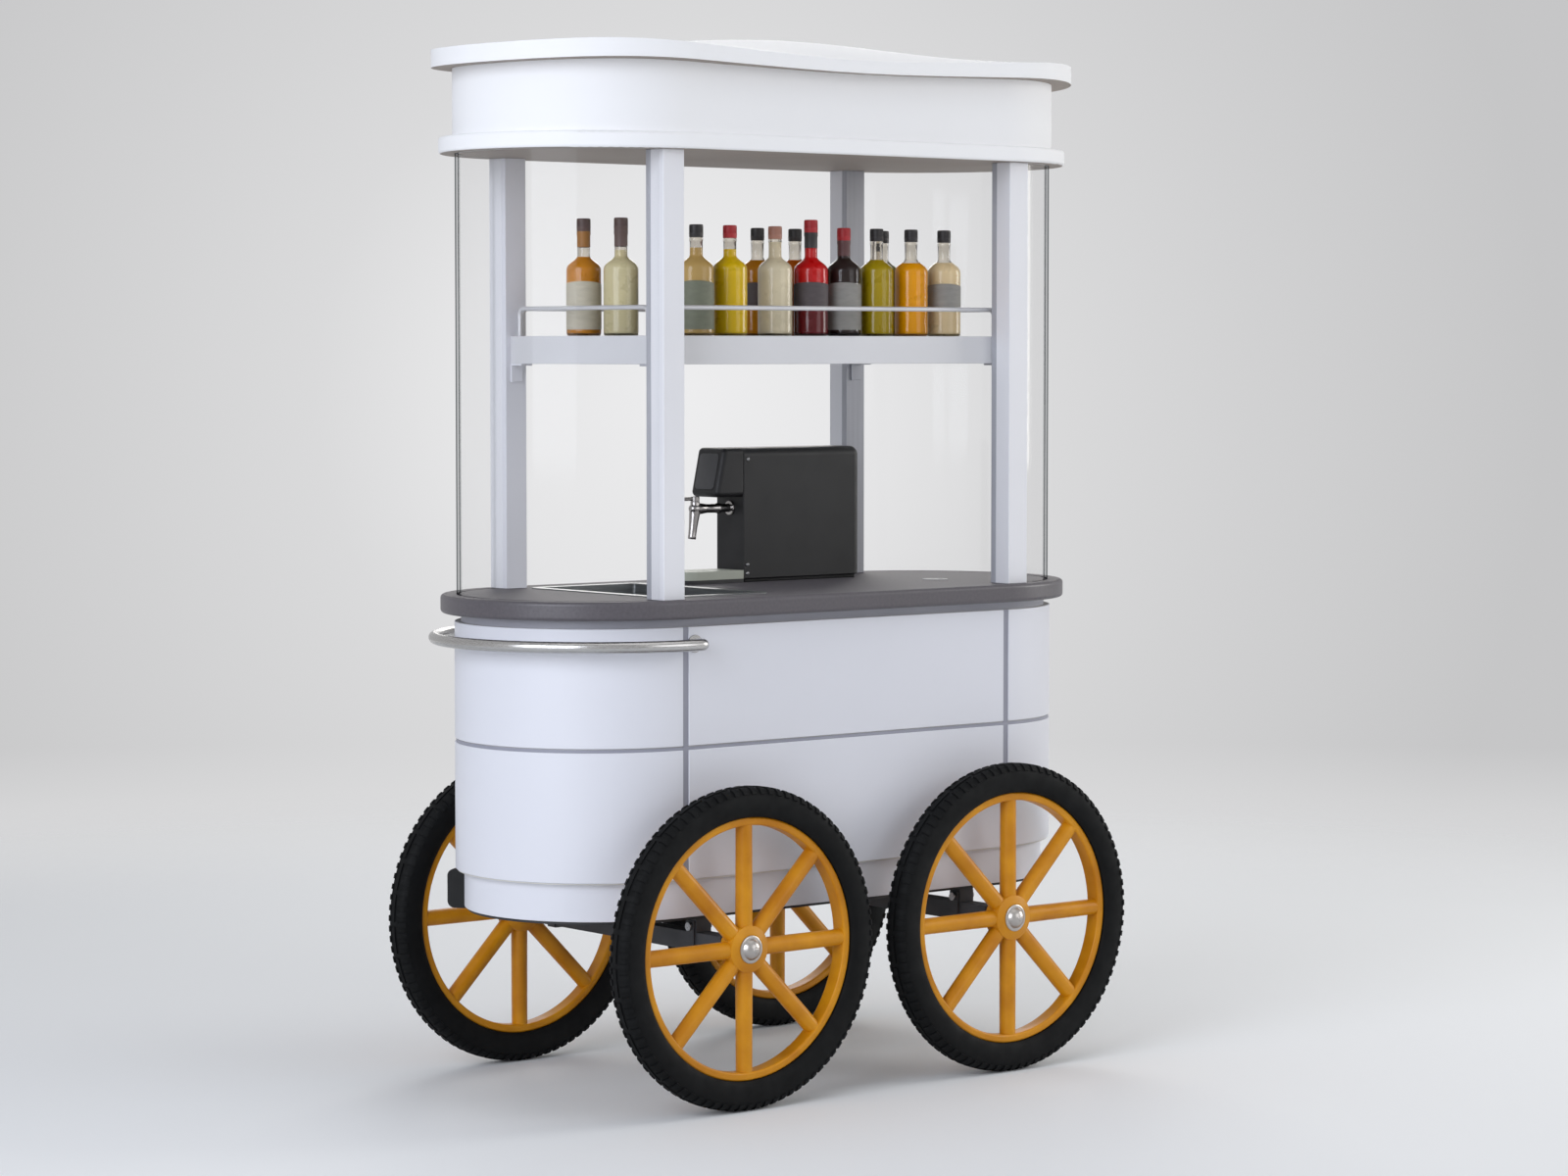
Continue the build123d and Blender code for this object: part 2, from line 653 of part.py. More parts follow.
def sink_basin():
    """Pressed basin that drops into the counter and hangs on its rim."""
    z0 = COUNTER_TOP - SINK_DEPTH
    outside = extrude(Pos(0, 0, z0) * sink_outline(0), SINK_DEPTH)
    rim = extrude(Pos(0, 0, COUNTER_TOP) * sink_outline(SINK_CLEAR + SINK_RIM), SINK_RIM_T)
    hollow = extrude(Pos(0, 0, z0 + SINK_WALL) * sink_outline(-SINK_WALL), SINK_DEPTH + SINK_RIM_T)
    drain = rod(WASTE_D / 2 + HOLE_CLEAR, SINK_WALL, SINK_X, 0, z0)
    return outside + rim - hollow - drain


def sink_waste():
    """Waste fitting whose tail runs down into the tank's neck."""
    floor = COUNTER_TOP - SINK_DEPTH + SINK_WALL
    low = CARCASS_Z + TANK_H + TANK_NECK_H - WASTE_REACH
    tail = rod(WASTE_D / 2, floor - low, SINK_X, 0, low)
    flange = rod(WASTE_FLANGE_D / 2, WASTE_FLANGE_T, SINK_X, 0, floor)
    return tail + flange - rod(WASTE_BORE / 2, floor - low + WASTE_FLANGE_T, SINK_X, 0, low)


def waste_tank():
    """Blow-moulded waste water tank on the deck, with an open neck."""
    half_l, half_w = TANK_L / 2, TANK_W / 2
    z0, z1 = CARCASS_Z, CARCASS_Z + TANK_H
    shell = block(SINK_X - half_l, SINK_X + half_l, -half_w, half_w, z0, z1)
    shell = fillet(shell.edges().filter_by(Axis.Z), TANK_ROUND)
    wall = TANK_WALL
    room_l, room_w = half_l - wall, half_w - wall
    room = block(SINK_X - room_l, SINK_X + room_l, -room_w, room_w, z0 + wall, z1 - wall)
    room = fillet(room.edges().filter_by(Axis.Z), TANK_ROUND - wall)
    neck = rod(TANK_NECK_D / 2, TANK_NECK_H, SINK_X, 0, z1)
    mouth = rod(TANK_NECK_BORE / 2, TANK_NECK_H + wall, SINK_X, 0, z1 - wall)
    return shell + neck - room - mouth


def counter_grommet():
    """Flush cap in the counter, with a spigot in its hole."""
    lip = rod(GROMMET_D / 2, GROMMET_LIP_T, GROMMET_X, GROMMET_Y, COUNTER_TOP)
    lip = fillet(lip.edges().group_by(Axis.Z)[-1], GROMMET_ROUND)
    return lip + rod(GROMMET_BORE / 2, COUNTER_T, GROMMET_X, GROMMET_Y, COUNTER_Z)


def push_handle():
    """Bent tube round the handle end, with a welded flange on each leg."""
    reach = BODY_R + HANDLE_GAP + HANDLE_D / 2
    leg_x = -SEAM_X + HANDLE_LEG_IN
    z = BODY_TOP - HANDLE_DROP
    leg = Line((leg_x, -BODY_R), (leg_x, -reach + HANDLE_BEND))
    turn = JernArc(leg @ 1, leg % 1, HANDLE_BEND, -90)
    run = Line(turn @ 1, (-SEAM_X, -reach))
    sweep_round = JernArc(run @ 1, run % 1, reach, -180)
    run_back = Line(sweep_round @ 1, (leg_x - HANDLE_BEND, reach))
    turn_back = JernArc(run_back @ 1, run_back % 1, HANDLE_BEND, -90)
    leg_back = Line(turn_back @ 1, (leg_x, BODY_R))
    path = Wire([leg, turn, run, sweep_round, run_back, turn_back, leg_back])
    tube = sweep(Plane(origin=path @ 0, z_dir=path % 0) * Circle(HANDLE_D / 2), path=path)
    near = rod(HANDLE_FLANGE_D / 2, HANDLE_FLANGE_T, leg_x, -BODY_R - HANDLE_FLANGE_T, 0, "Y")
    return Pos(0, 0, z) * (tube + near + mirror(near, Plane.XZ))


def lashing_lug():
    """Rounded lug on the skirt at the handle end, with an upright hole for a hook."""
    z0 = DECK_Z - LUG_LOW - LUG_H + SKIRT_T / 2
    outline = RectangleRounded(LUG_REACH * 2, LUG_H, LUG_ROUND)
    plate = extrude(Plane.XZ * outline, LUG_T / 2, both=True)
    plate -= rod(LUG_BORE_D / 2, 2 * LUG_H, LUG_REACH / 2, 0, -LUG_H)
    plate = Pos(-SEAM_X, 0, z0 + LUG_H / 2) * Rot(0, 0, LUG_ANGLE) * Pos(SKIRT_R, 0, 0) * plate
    return plate - prism(SKIRT_R + LUG_FIT, 0, CUT_REACH)


def post():
    """Hollow white upright, counter to canopy."""
    x0, x1 = POST_X - POST_W / 2, POST_X + POST_W / 2
    outer = block(x0, x1, POST_BACK, POST_FACE, COUNTER_TOP, CORNICE_Z)
    wall = POST_WALL
    return outer - block(x0 + wall, x1 - wall, POST_BACK + wall, POST_FACE - wall, COUNTER_TOP, CORNICE_Z)


def post_liner():
    """Dark bar along the inner face of a post, which carries the shelf."""
    return block(POST_X - POST_W / 2, POST_X + POST_W / 2, LINER_FACE, POST_BACK, COUNTER_TOP, CORNICE_Z)


def bottle_shelf():
    """Folded sheet shelf, open underneath."""
    outer = block(-SHELF_X, SHELF_X, -LINER_FACE, LINER_FACE, SHELF_Z, SHELF_TOP)
    skin_t = SHELF_SKIN
    half_y = LINER_FACE - skin_t
    return outer - block(-SHELF_X + skin_t, SHELF_X - skin_t, -half_y, half_y, SHELF_Z, SHELF_TOP - skin_t)


def shelf_bracket():
    """Angle bracket on the post's inner face, under the shelf's edge."""
    half = POST_W / 2 - SHELF_END
    x0, x1 = POST_X - half, POST_X + half
    leg = block(x0, x1, LINER_FACE - BRACKET_T, LINER_FACE, SHELF_Z - BRACKET_LEG, SHELF_Z)
    return leg + block(x0, x1, LINER_FACE - BRACKET_LEG, LINER_FACE, SHELF_Z - BRACKET_T, SHELF_Z)


def staple(start, end):
    """Round rail that stands on the shelf on two legs with bent corners."""
    lift = Vector(0, 0, RAIL_RISE)
    path = FilletPolyline(start, start + lift, end + lift, end, radius=RAIL_BEND)
    return sweep(Plane(origin=path @ 0, z_dir=path % 0) * Circle(RAIL_D / 2), path=path)


def gallery_rails():
    """Four rails round the shelf, one between each pair of posts."""
    end_x = SHELF_X - RAIL_END_INSET
    end_y = LINER_FACE - RAIL_END_STOP
    side_y = LINER_FACE - RAIL_SIDE_INSET
    side_x = SHELF_X - RAIL_SIDE_STOP
    rails = []
    for side in (-1, 1):
        x, y = side * end_x, side * side_y
        rails.append(staple(Vector(x, -end_y, SHELF_TOP), Vector(x, end_y, SHELF_TOP)))
        rails.append(staple(Vector(-side_x, y, SHELF_TOP), Vector(side_x, y, SHELF_TOP)))
    return group(rails)


def bottle_places():
    """Foot centre and height of every bottle on the shelf."""
    places = []
    last = SHELF_X - FRONT_ROW_END
    for i, step in enumerate(FRONT_ROW_STEPS):
        height = BOTTLE_H_TALL if i == TALL_IN_FRONT_ROW else BOTTLE_H_SHORT
        places.append((last - step * FRONT_ROW_PITCH, FRONT_ROW_Y, height))
    for step in BACK_ROW_STEPS:
        places.append((last - step * FRONT_ROW_PITCH, BACK_ROW_Y, BOTTLE_H_SHORT))
    for inset, y in zip(PAIR_END_INSETS, PAIR_Y):
        places.append((inset - SHELF_X, y, BOTTLE_H_TALL))
    return places


def bottle(x, y, height):
    """Round-shouldered bottle up to the underside of its cap."""
    shoulder = BOTTLE_BODY_H + BOTTLE_SHOULDER_H
    top = height - BOTTLE_CAP_H
    foot = BOTTLE_FOOT_ROUND
    edges = [
        Line((0, 0), (BOTTLE_R - foot, 0)),
        RadiusArc((BOTTLE_R - foot, 0), (BOTTLE_R, foot), -foot),
        Line((BOTTLE_R, foot), (BOTTLE_R, BOTTLE_BODY_H)),
        Spline((BOTTLE_R, BOTTLE_BODY_H), (BOTTLE_NECK_R, shoulder), tangents=[(0, 1), (0, 1)]),
        Line((BOTTLE_NECK_R, shoulder), (BOTTLE_NECK_R, top)),
        Line((BOTTLE_NECK_R, top), (0, top)),
        Line((0, top), (0, 0)),
    ]
    profile = Plane.XZ * make_face(edges)
    return Pos(x, y, SHELF_TOP) * revolve(profile, Axis.Z)


def bottle_cap(x, y, height):
    cap = rod(BOTTLE_CAP_R, BOTTLE_CAP_H, x, y, SHELF_TOP + height - BOTTLE_CAP_H)
    return fillet(cap.edges().group_by(Axis.Z)[-1], BOTTLE_CAP_ROUND)


def cornice():
    """Canopy floor slab, with grooves for the glass underneath."""
    slab = prism(CORNICE_R, CORNICE_Z, CORNICE_TOP)
    rims = slab.edges().group_by(Axis.Z)
    slab = fillet(rims[0] + rims[-1], CORNICE_EDGE)
    return slab - glass_grooves(CORNICE_Z, CORNICE_Z + GLASS_GROOVE)


def wave(y, ends, middle, reach):
    """Level of a roof line along X: one height at the ends, another at mid-length."""
    quarter = ends + (middle - ends) * ROOF_WAVE_SHARE
    half = reach / 2
    points = [(-reach, ends), (-half, quarter), (0, middle), (half, quarter), (reach, ends)]
    return Spline(*[(x, y, z) for x, z in points])


def roof_block(top_edge_mid, top_edge_ends, crown_mid, crown_ends):
    """Block under a wavy roof surface, lofted from the two long edges and the ridge."""
    reach = SEAM_X + ROOF_R + ROOF_SPARE
    width = ROOF_R + ROOF_SPARE
    tip = ROOF_Z - ROOF_TIP_DROP
    sections = []
    for y in (-width, 0, width):
        edge = y != 0
        low = wave(y, ROOF_Z if edge else tip, ROOF_Z - ROOF_DIP if edge else tip, reach)
        high = wave(y, top_edge_ends if edge else crown_ends, top_edge_mid if edge else crown_mid, reach)
        sides = [Line(low @ 0, high @ 0), Line(low @ 1, high @ 1)]
        sections.append(make_face([low, sides[1], high, sides[0]]))
    return loft(sections)


def roof():
    """Crowned roof slab whose long edges dip in a wave at mid-length."""
    ends = ROOF_Z + ROOF_EDGE_T
    slab = roof_block(ends - ROOF_DIP_TOP, ends, ROOF_Z + ROOF_CROWN, ends - ROOF_TIP_DROP)
    return slab & prism(ROOF_R, CORNICE_TOP, ROOF_Z + 2 * ROOF_CROWN)


def fascia():
    """Upright band of the canopy, cut to the roof's wavy underside."""
    band = ring(FASCIA_R, FASCIA_T, CORNICE_TOP, ROOF_Z + ROOF_SPARE)
    high = ROOF_Z + 2 * ROOF_CROWN
    return band - roof_block(high, high, high, high)


def dispenser_body():
    """Moulded housing of the drinks dispenser on a set-back foot."""
    x1, y1 = DISP_X + DISP_L, DISP_Y + DISP_W
    z0, z1 = COUNTER_TOP + FOOT_H, COUNTER_TOP + FOOT_H + DISP_H
    body = block(DISP_X, x1, DISP_Y, y1, z0, z1)
    rear = body.edges().filter_by(Axis.Z).group_by(Axis.X)[-1]
    top = body.edges().filter_by(Axis.X).group_by(Axis.Z)[-1]
    top_rear = body.edges().filter_by(Axis.Y).group_by(Axis.Z)[-1].sort_by(Axis.X)[-1:]
    body = fillet(rear + top + top_rear, DISP_ROUND)
    inset = FOOT_INSET
    return body + block(DISP_X + inset, x1 - inset, DISP_Y + inset, y1 - inset, COUNTER_TOP, z0)


def dispenser_head():
    """Overhanging front of the dispenser, leaning back towards its top."""
    top = COUNTER_TOP + FOOT_H + DISP_H
    low = top - HEAD_H
    corners = [(DISP_X, low), (DISP_X - HEAD_LOW_OUT, low), (DISP_X - HEAD_TOP_OUT, top), (DISP_X, top)]
    side = make_face(Polyline(*corners, close=True))
    solid = extrude(Pos(0, DISP_Y + DISP_W, 0) * (Plane.XZ * side), DISP_W)
    seam = solid.edges().group_by(Axis.X)[-1]
    keep = [edge for edge in solid.edges() if edge not in seam]
    rounded = [edge for edge in keep if abs(edge.center().X - DISP_X) > HEAD_ROUND]
    return fillet(rounded, HEAD_ROUND)


def tray_plan(inset):
    """Drip tray outline with a half-round front, against the dispenser."""
    radius = DISP_W / 2 - inset
    nose = DISP_X - TRAY_L + DISP_W / 2
    back = DISP_X - inset
    plan = Pos((nose + back) / 2, TAP_Y) * Rectangle(back - nose, 2 * radius)
    return plan + Pos(nose, TAP_Y) * Circle(radius)


def drip_tray():
    """Shallow tray under the spout, with a step that the grid lies on."""
    body = extrude(Pos(0, 0, COUNTER_TOP) * tray_plan(0), TRAY_H)
    room = extrude(Pos(0, 0, COUNTER_TOP + TRAY_WALL) * tray_plan(2 * TRAY_WALL), TRAY_H)
    seat = extrude(Pos(0, 0, COUNTER_TOP + TRAY_H - GRID_T) * tray_plan(TRAY_WALL), TRAY_H)
    return body - room - seat


def drip_grid():
    """Slotted plate that lies on the tray's step."""
    z = COUNTER_TOP + TRAY_H - GRID_T
    plate = extrude(Pos(0, 0, z) * tray_plan(TRAY_WALL + HOLE_CLEAR), GRID_T)
    first = DISP_X - TRAY_L + DISP_W / 2
    for i in range(GRID_SLOT_COUNT):
        x = first + i * GRID_SLOT_PITCH
        slot = Pos(x, TAP_Y) * Rot(0, 0, 90) * SlotOverall(GRID_SLOT_L, GRID_SLOT_W)
        plate -= extrude(Pos(0, 0, z) * slot, GRID_T)
    return plate


def tap_body():
    """Tap with a wall flange, a barrel, a valve body bored for the spindle and a tapered spout."""
    barrel = rod(TAP_D / 2, TAP_REACH, SPOUT_X, TAP_Y, TAP_Z, "X")
    flange = rod(TAP_FLANGE_D / 2, TAP_FLANGE_T, DISP_X - TAP_FLANGE_T, TAP_Y, TAP_Z, "X")
    valve = rod(TAP_BODY_D / 2, TAP_BODY_H, SPOUT_X, TAP_Y, TAP_Z - TAP_BODY_H / 2)
    valve = fillet(valve.edges(), TAP_BODY_ROUND)
    spout = Cone(SPOUT_TIP_D / 2, SPOUT_TOP_D / 2, SPOUT_L, align=(Align.CENTER, Align.CENTER, Align.MIN))
    tip = TAP_Z - TAP_BODY_H / 2 - SPOUT_L
    tap = barrel + flange + valve + Pos(SPOUT_X, TAP_Y, tip) * spout
    tap -= rod(SPOUT_BORE / 2, SPOUT_L, SPOUT_X, TAP_Y, tip)
    top = TAP_Z + TAP_BODY_H / 2
    return tap - rod(SPINDLE_D / 2 + RUN_CLEAR, SPINDLE_L, SPOUT_X, TAP_Y, top - SPINDLE_L + LEVER_LIFT)


def tap_lever():
    """Quarter-turn lever on a spindle in the valve body."""
    top = TAP_Z + TAP_BODY_H / 2 + LEVER_LIFT
    spindle = rod(SPINDLE_D / 2, SPINDLE_L, SPOUT_X, TAP_Y, top - SPINDLE_L + LEVER_LIFT)
    boss = rod(LEVER_BOSS_D / 2, LEVER_BOSS_H, SPOUT_X, TAP_Y, top)
    boss = fillet(boss.edges().group_by(Axis.Z)[-1], LEVER_BOSS_ROUND)
    arm = rod(LEVER_D / 2, LEVER_L, SPOUT_X - LEVER_L, TAP_Y, top + LEVER_BOSS_H / 2, "X")
    arm = fillet(arm.edges().group_by(Axis.X)[0], LEVER_TIP_ROUND)
    return spindle + boss + arm


for end, x in (("left", -WHEELBASE / 2), ("right", WHEELBASE / 2)):
    for side_name, side in (("front", -1), ("back", 1)):
        corner = f"{side_name}_{end}"
        nodes[f"tyre_{corner}"] = tyre(x, side)
        nodes[f"wheel_{corner}"] = spoked_wheel(x, side)
        nodes[f"hub_cap_{corner}"] = hub_cap(x, side)

half_base = WHEELBASE / 2
bearing_pair = group([bearing(half_base, COLLAR_Y), bearing(half_base, NUT_Y - BEARING_W)])
nodes["wheel_bearings"] = mirror_xy(bearing_pair)
nodes["axles"] = group([axle(-half_base), axle(half_base)])
nodes["axle_nuts"] = mirror_xy(axle_nut(half_base))
nodes["axle_hangers"] = mirror_xy(axle_hanger(half_base))
nodes["axle_clamps"] = mirror_xy(axle_clamp(half_base))
nodes["clamp_bolts"] = mirror_xy(clamp_bolt(half_base))
nodes["chassis_frame"] = chassis_frame()
nodes["floor_pan"] = prism(PAN_R, PAN_Z, SKIRT_Z)
nodes["skirt_band"] = ring(SKIRT_R, SKIRT_T, SKIRT_Z, DECK_Z)
nodes["deck"] = prism(CARCASS_R, DECK_Z, CARCASS_Z)
nodes["carcass"] = carcass()
nodes["seam_strips"] = seam_strips()

panel_levels = {
    "lower": (DECK_Z + PANEL_FOOT_GAP, BELT_Z - BELT_GAP / 2),
    "upper": (BELT_Z + BELT_GAP / 2, BODY_TOP),
}
end_x = SEAM_X + SEAM_W / 2
for level, (low, high) in panel_levels.items():
    left_end = skin(-CUT_REACH, -end_x, -CUT_REACH, CUT_REACH, low, high)
    nodes[f"end_panels_{level}"] = group([left_end, mirror(left_end, Plane.YZ)])
    nodes[f"front_panel_{level}"] = skin(-PANEL_X, PANEL_X, -CUT_REACH, 0, low, high)
back_lower = skin(-PANEL_X, PANEL_X, 0, CUT_REACH, *panel_levels["lower"])
back_stile = skin(-PANEL_X, FLAP_X0 - FLAP_GAP, 0, CUT_REACH, *panel_levels["upper"])
nodes["back_panels"] = group([back_lower, back_stile])

nodes["service_flap"] = service_flap()
nodes["flap_knob"] = flap_knob()
nodes["flap_hinge_leaf"] = hinge_leaf()
nodes["flap_hinge_base"] = hinge_base()
nodes["flap_hinge_pin"] = hinge_pin()

nodes["neck_ring"] = ring(NECK_R, NECK_T, BODY_TOP, COUNTER_Z)
nodes["counter_top"] = counter_top()
nodes["counter_grommet"] = counter_grommet()
nodes["sink_basin"] = sink_basin()
nodes["sink_waste"] = sink_waste()
nodes["waste_tank"] = waste_tank()
nodes["push_handle"] = push_handle()
nodes["lashing_lug"] = lashing_lug()

nodes["posts"] = mirror_xy(post())
nodes["post_liners"] = mirror_xy(post_liner())
glass_foot = COUNTER_TOP - GLASS_GROOVE
glass_head = CORNICE_Z + GLASS_GROOVE - GLASS_CLEAR
nodes["glass_left"], nodes["glass_right"] = end_wall(GLASS_R, GLASS_T, glass_foot, glass_head)
nodes["bottle_shelf"] = bottle_shelf()
nodes["shelf_brackets"] = mirror_xy(shelf_bracket())
nodes["gallery_rails"] = gallery_rails()
nodes["bottles"] = group([bottle(*place) for place in bottle_places()])
nodes["bottle_caps"] = group([bottle_cap(*place) for place in bottle_places()])

nodes["cornice"] = cornice()
nodes["fascia"] = fascia()
nodes["roof"] = roof()

nodes["dispenser_body"] = dispenser_body()
nodes["dispenser_head"] = dispenser_head()
nodes["drip_tray"] = drip_tray()
nodes["drip_grid"] = drip_grid()
nodes["tap_body"] = tap_body()
nodes["tap_lever"] = tap_lever()

os.makedirs("parts", exist_ok=True)
for name, shape in nodes.items():
    export_step(shape, f"parts/{name}.step")
print(len(nodes), "nodes")
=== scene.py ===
# %% [markdown]
# A cocktail cart, dressed for its portrait
#
# The cart is a small bar on four spoked wheels: a white cabinet with round ends, a dark counter, posts with bent
# glass, a shelf of bottles and a white canopy with a wavy roof. The measured model is loaded first and stays where it
# is. This lesson then adds what makes it look real: light, finishes, tyres with tread, bottles and small fittings.

# %% Load the measured model
import json
import math
import bmesh
import bpy
from mathutils import Matrix, Vector

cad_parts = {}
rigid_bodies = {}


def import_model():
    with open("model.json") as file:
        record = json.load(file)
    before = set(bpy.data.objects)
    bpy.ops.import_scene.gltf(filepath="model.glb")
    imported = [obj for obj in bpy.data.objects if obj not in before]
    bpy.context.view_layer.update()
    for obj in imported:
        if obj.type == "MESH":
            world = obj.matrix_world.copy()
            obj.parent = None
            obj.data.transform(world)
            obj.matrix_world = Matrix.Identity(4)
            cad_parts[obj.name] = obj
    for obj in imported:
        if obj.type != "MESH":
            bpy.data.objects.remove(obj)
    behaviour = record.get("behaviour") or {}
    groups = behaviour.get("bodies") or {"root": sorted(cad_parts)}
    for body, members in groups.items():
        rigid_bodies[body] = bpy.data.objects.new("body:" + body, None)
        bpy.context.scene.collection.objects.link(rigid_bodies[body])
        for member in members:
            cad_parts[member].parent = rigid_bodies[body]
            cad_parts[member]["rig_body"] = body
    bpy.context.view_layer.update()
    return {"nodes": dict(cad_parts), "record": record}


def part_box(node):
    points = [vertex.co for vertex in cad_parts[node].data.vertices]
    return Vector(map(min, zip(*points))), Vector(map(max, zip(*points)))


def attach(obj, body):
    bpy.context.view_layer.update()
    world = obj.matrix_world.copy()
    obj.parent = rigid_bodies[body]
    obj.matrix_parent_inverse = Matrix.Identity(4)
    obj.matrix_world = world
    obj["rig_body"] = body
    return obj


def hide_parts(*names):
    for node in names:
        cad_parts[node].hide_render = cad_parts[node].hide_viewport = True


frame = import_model()
cart = frame["nodes"]
MM = 0.001

# %% [markdown]
# The camera stands where the photographer stood: at eye height, nine metres away, on the corner of the cart between
# the handle end and the guests' side. A long lens keeps the uprights parallel, so only a slight tilt down is needed.

# %% Camera
CAMERA_PLACE = (-5.8277, -7.1047, 1.6099)
CAMERA_TURN = -39.675
CAMERA_TILT = 3.32
LENS, SENSOR_WIDTH = 94.29, 36

bpy.ops.object.select_all(action="DESELECT")
turn = (math.radians(90 - CAMERA_TILT), 0, math.radians(CAMERA_TURN))
bpy.ops.object.camera_add(location=CAMERA_PLACE, rotation=turn)
camera = bpy.context.object
camera.data.sensor_width = SENSOR_WIDTH
camera.data.sensor_fit = "HORIZONTAL"
camera.data.lens = LENS
bpy.context.scene.camera = camera
bpy.context.scene.view_settings.view_transform = "Standard"
print("camera at", [round(v, 2) for v in camera.location])

# %% [markdown]
# Shaders work with linear colours, but a colour is chosen as it looks on the screen, so a helper turns one into the
# other. Two more mix colours, or whole surfaces, by a share that a pattern, a place or a direction gives. The backdrop
# and the finishes below are made of such small graphs of nodes.


# %% Colours and mixes
def linear(*rgb):
    """Screen colour from 0 to 255, as the linear values that shaders take."""
    steps = [c / 255 for c in rgb]
    return tuple(c / 12.92 if c <= 0.04045 else ((c + 0.055) / 1.055) ** 2.4 for c in steps) + (1,)


def mixed(nodes, links, share, first, second):
    """Two colours mixed by a share from zero to one. Each is a fixed colour or comes from another node."""
    blend = nodes.new("ShaderNodeMix")
    blend.data_type = "RGBA"
    links.new(share, blend.inputs["Factor"])
    for side, colour in (("A", first), ("B", second)):
        if isinstance(colour, bpy.types.NodeSocket):
            links.new(colour, blend.inputs[side])
        else:
            blend.inputs[side].default_value = colour
    return blend.outputs["Result"]


def either(nodes, links, share, first, second):
    """Two surfaces mixed by a share from zero to one."""
    choose = nodes.new("ShaderNodeMixShader")
    links.new(share, choose.inputs["Fac"])
    links.new(first.outputs[0], choose.inputs[1])
    links.new(second.outputs[0], choose.inputs[2])
    return choose.outputs[0]


print("white is", linear(255, 255, 255))

# %% [markdown]
# The studio is a pale room without corners. Its backdrop glows softly behind the cart and darkens to all sides. A wall
# could stand there, but it would show its edges from other sides, so the colour is worked out from the direction of a
# ray. Only the camera, mirrors and glass see it: the even light that falls on the cart is a colour of its own.

# %% Backdrop
GLOW_TOWARDS = Vector((0.618, 0.786, -0.01)).normalized()
GLOW_REACH = math.radians(12)
GLOW_STOPS = {0.0: 238, 0.25: 230, 0.42: 218, 0.67: 209, 1.0: 198}
FAR_FLOOR = linear(224, 224, 225)
FAR_FLOOR_DIP = (-0.095, -0.125)
AMBIENT = (0.92, 0.95, 1.0, 1)
AMBIENT_STRENGTH = 0.36


def seen_directly(nodes, links):
    """One where a ray comes from the camera, a mirror or glass, and zero where it only lights a surface."""
    path = nodes.new("ShaderNodeLightPath")
    share = path.outputs["Is Camera Ray"]
    for kind in ("Is Glossy Ray", "Is Transmission Ray"):
        larger = nodes.new("ShaderNodeMath")
        larger.operation = "MAXIMUM"
        links.new(share, larger.inputs[0])
        links.new(path.outputs[kind], larger.inputs[1])
        share = larger.outputs[0]
    return share


def sky_colour(nodes, links):
    """Backdrop that glows behind the cart, falls off to all sides, and meets a lighter floor below."""
    place = nodes.new("ShaderNodeTexCoord")
    near = nodes.new("ShaderNodeVectorMath")
    near.operation = "DOT_PRODUCT"
    near.inputs[1].default_value = GLOW_TOWARDS
    links.new(place.outputs["Generated"], near.inputs[0])
    angle = nodes.new("ShaderNodeMath")
    angle.operation = "ARCCOSINE"
    links.new(near.outputs["Value"], angle.inputs[0])
    share = nodes.new("ShaderNodeMapRange")
    share.inputs["From Max"].default_value = GLOW_REACH
    links.new(angle.outputs[0], share.inputs["Value"])
    ramp = nodes.new("ShaderNodeValToRGB")
    stops = ramp.color_ramp.elements  # a new ramp has one stop at each end
    for position, level in GLOW_STOPS.items():
        stop = stops[-int(position)] if position in (0, 1) else stops.new(position)
        stop.color = linear(level, level, level + 1)
    links.new(share.outputs["Result"], ramp.inputs[0])
    split = nodes.new("ShaderNodeSeparateXYZ")
    links.new(place.outputs["Generated"], split.inputs[0])
    dip = nodes.new("ShaderNodeMapRange")
    dip.inputs["From Min"].default_value, dip.inputs["From Max"].default_value = FAR_FLOOR_DIP
    links.new(split.outputs["Z"], dip.inputs["Value"])
    return mixed(nodes, links, dip.outputs["Result"], ramp.outputs["Color"], FAR_FLOOR)


world = bpy.data.worlds.new("studio")
bpy.context.scene.world = world
world.use_nodes = True
nodes, links = world.node_tree.nodes, world.node_tree.links
ambient = nodes["Background"]
ambient.inputs["Color"].default_value = AMBIENT
ambient.inputs["Strength"].default_value = AMBIENT_STRENGTH
shown = nodes.new("ShaderNodeBackground")
links.new(sky_colour(nodes, links), shown.inputs["Color"])
seen = either(nodes, links, seen_directly(nodes, links), ambient, shown)
links.new(seen, nodes["World Output"].inputs["Surface"])
print("backdrop made")

# %% [markdown]
# The floor carries the cart's shadow. A plain disc would end in a hard horizon, so its paint fades out towards the rim,
# where the backdrop takes over.

# %% Floor
FLOOR_R = 7.5
FLOOR_SIDES = 128
FLOOR_FADE = (0.42, 0.80)
FLOOR_COLOUR = linear(237, 238, 239)
FLOOR_ROUGH, FLOOR_SHINE = 0.7, 0.15


def blank(name):
    """New material with nodes."""
    material = bpy.data.materials.new(name)
    material.use_nodes = True
    return material


def inside(material):
    """Nodes, links and shader of a material."""
    tree = material.node_tree
    return tree.nodes, tree.links, tree.nodes["Principled BSDF"]


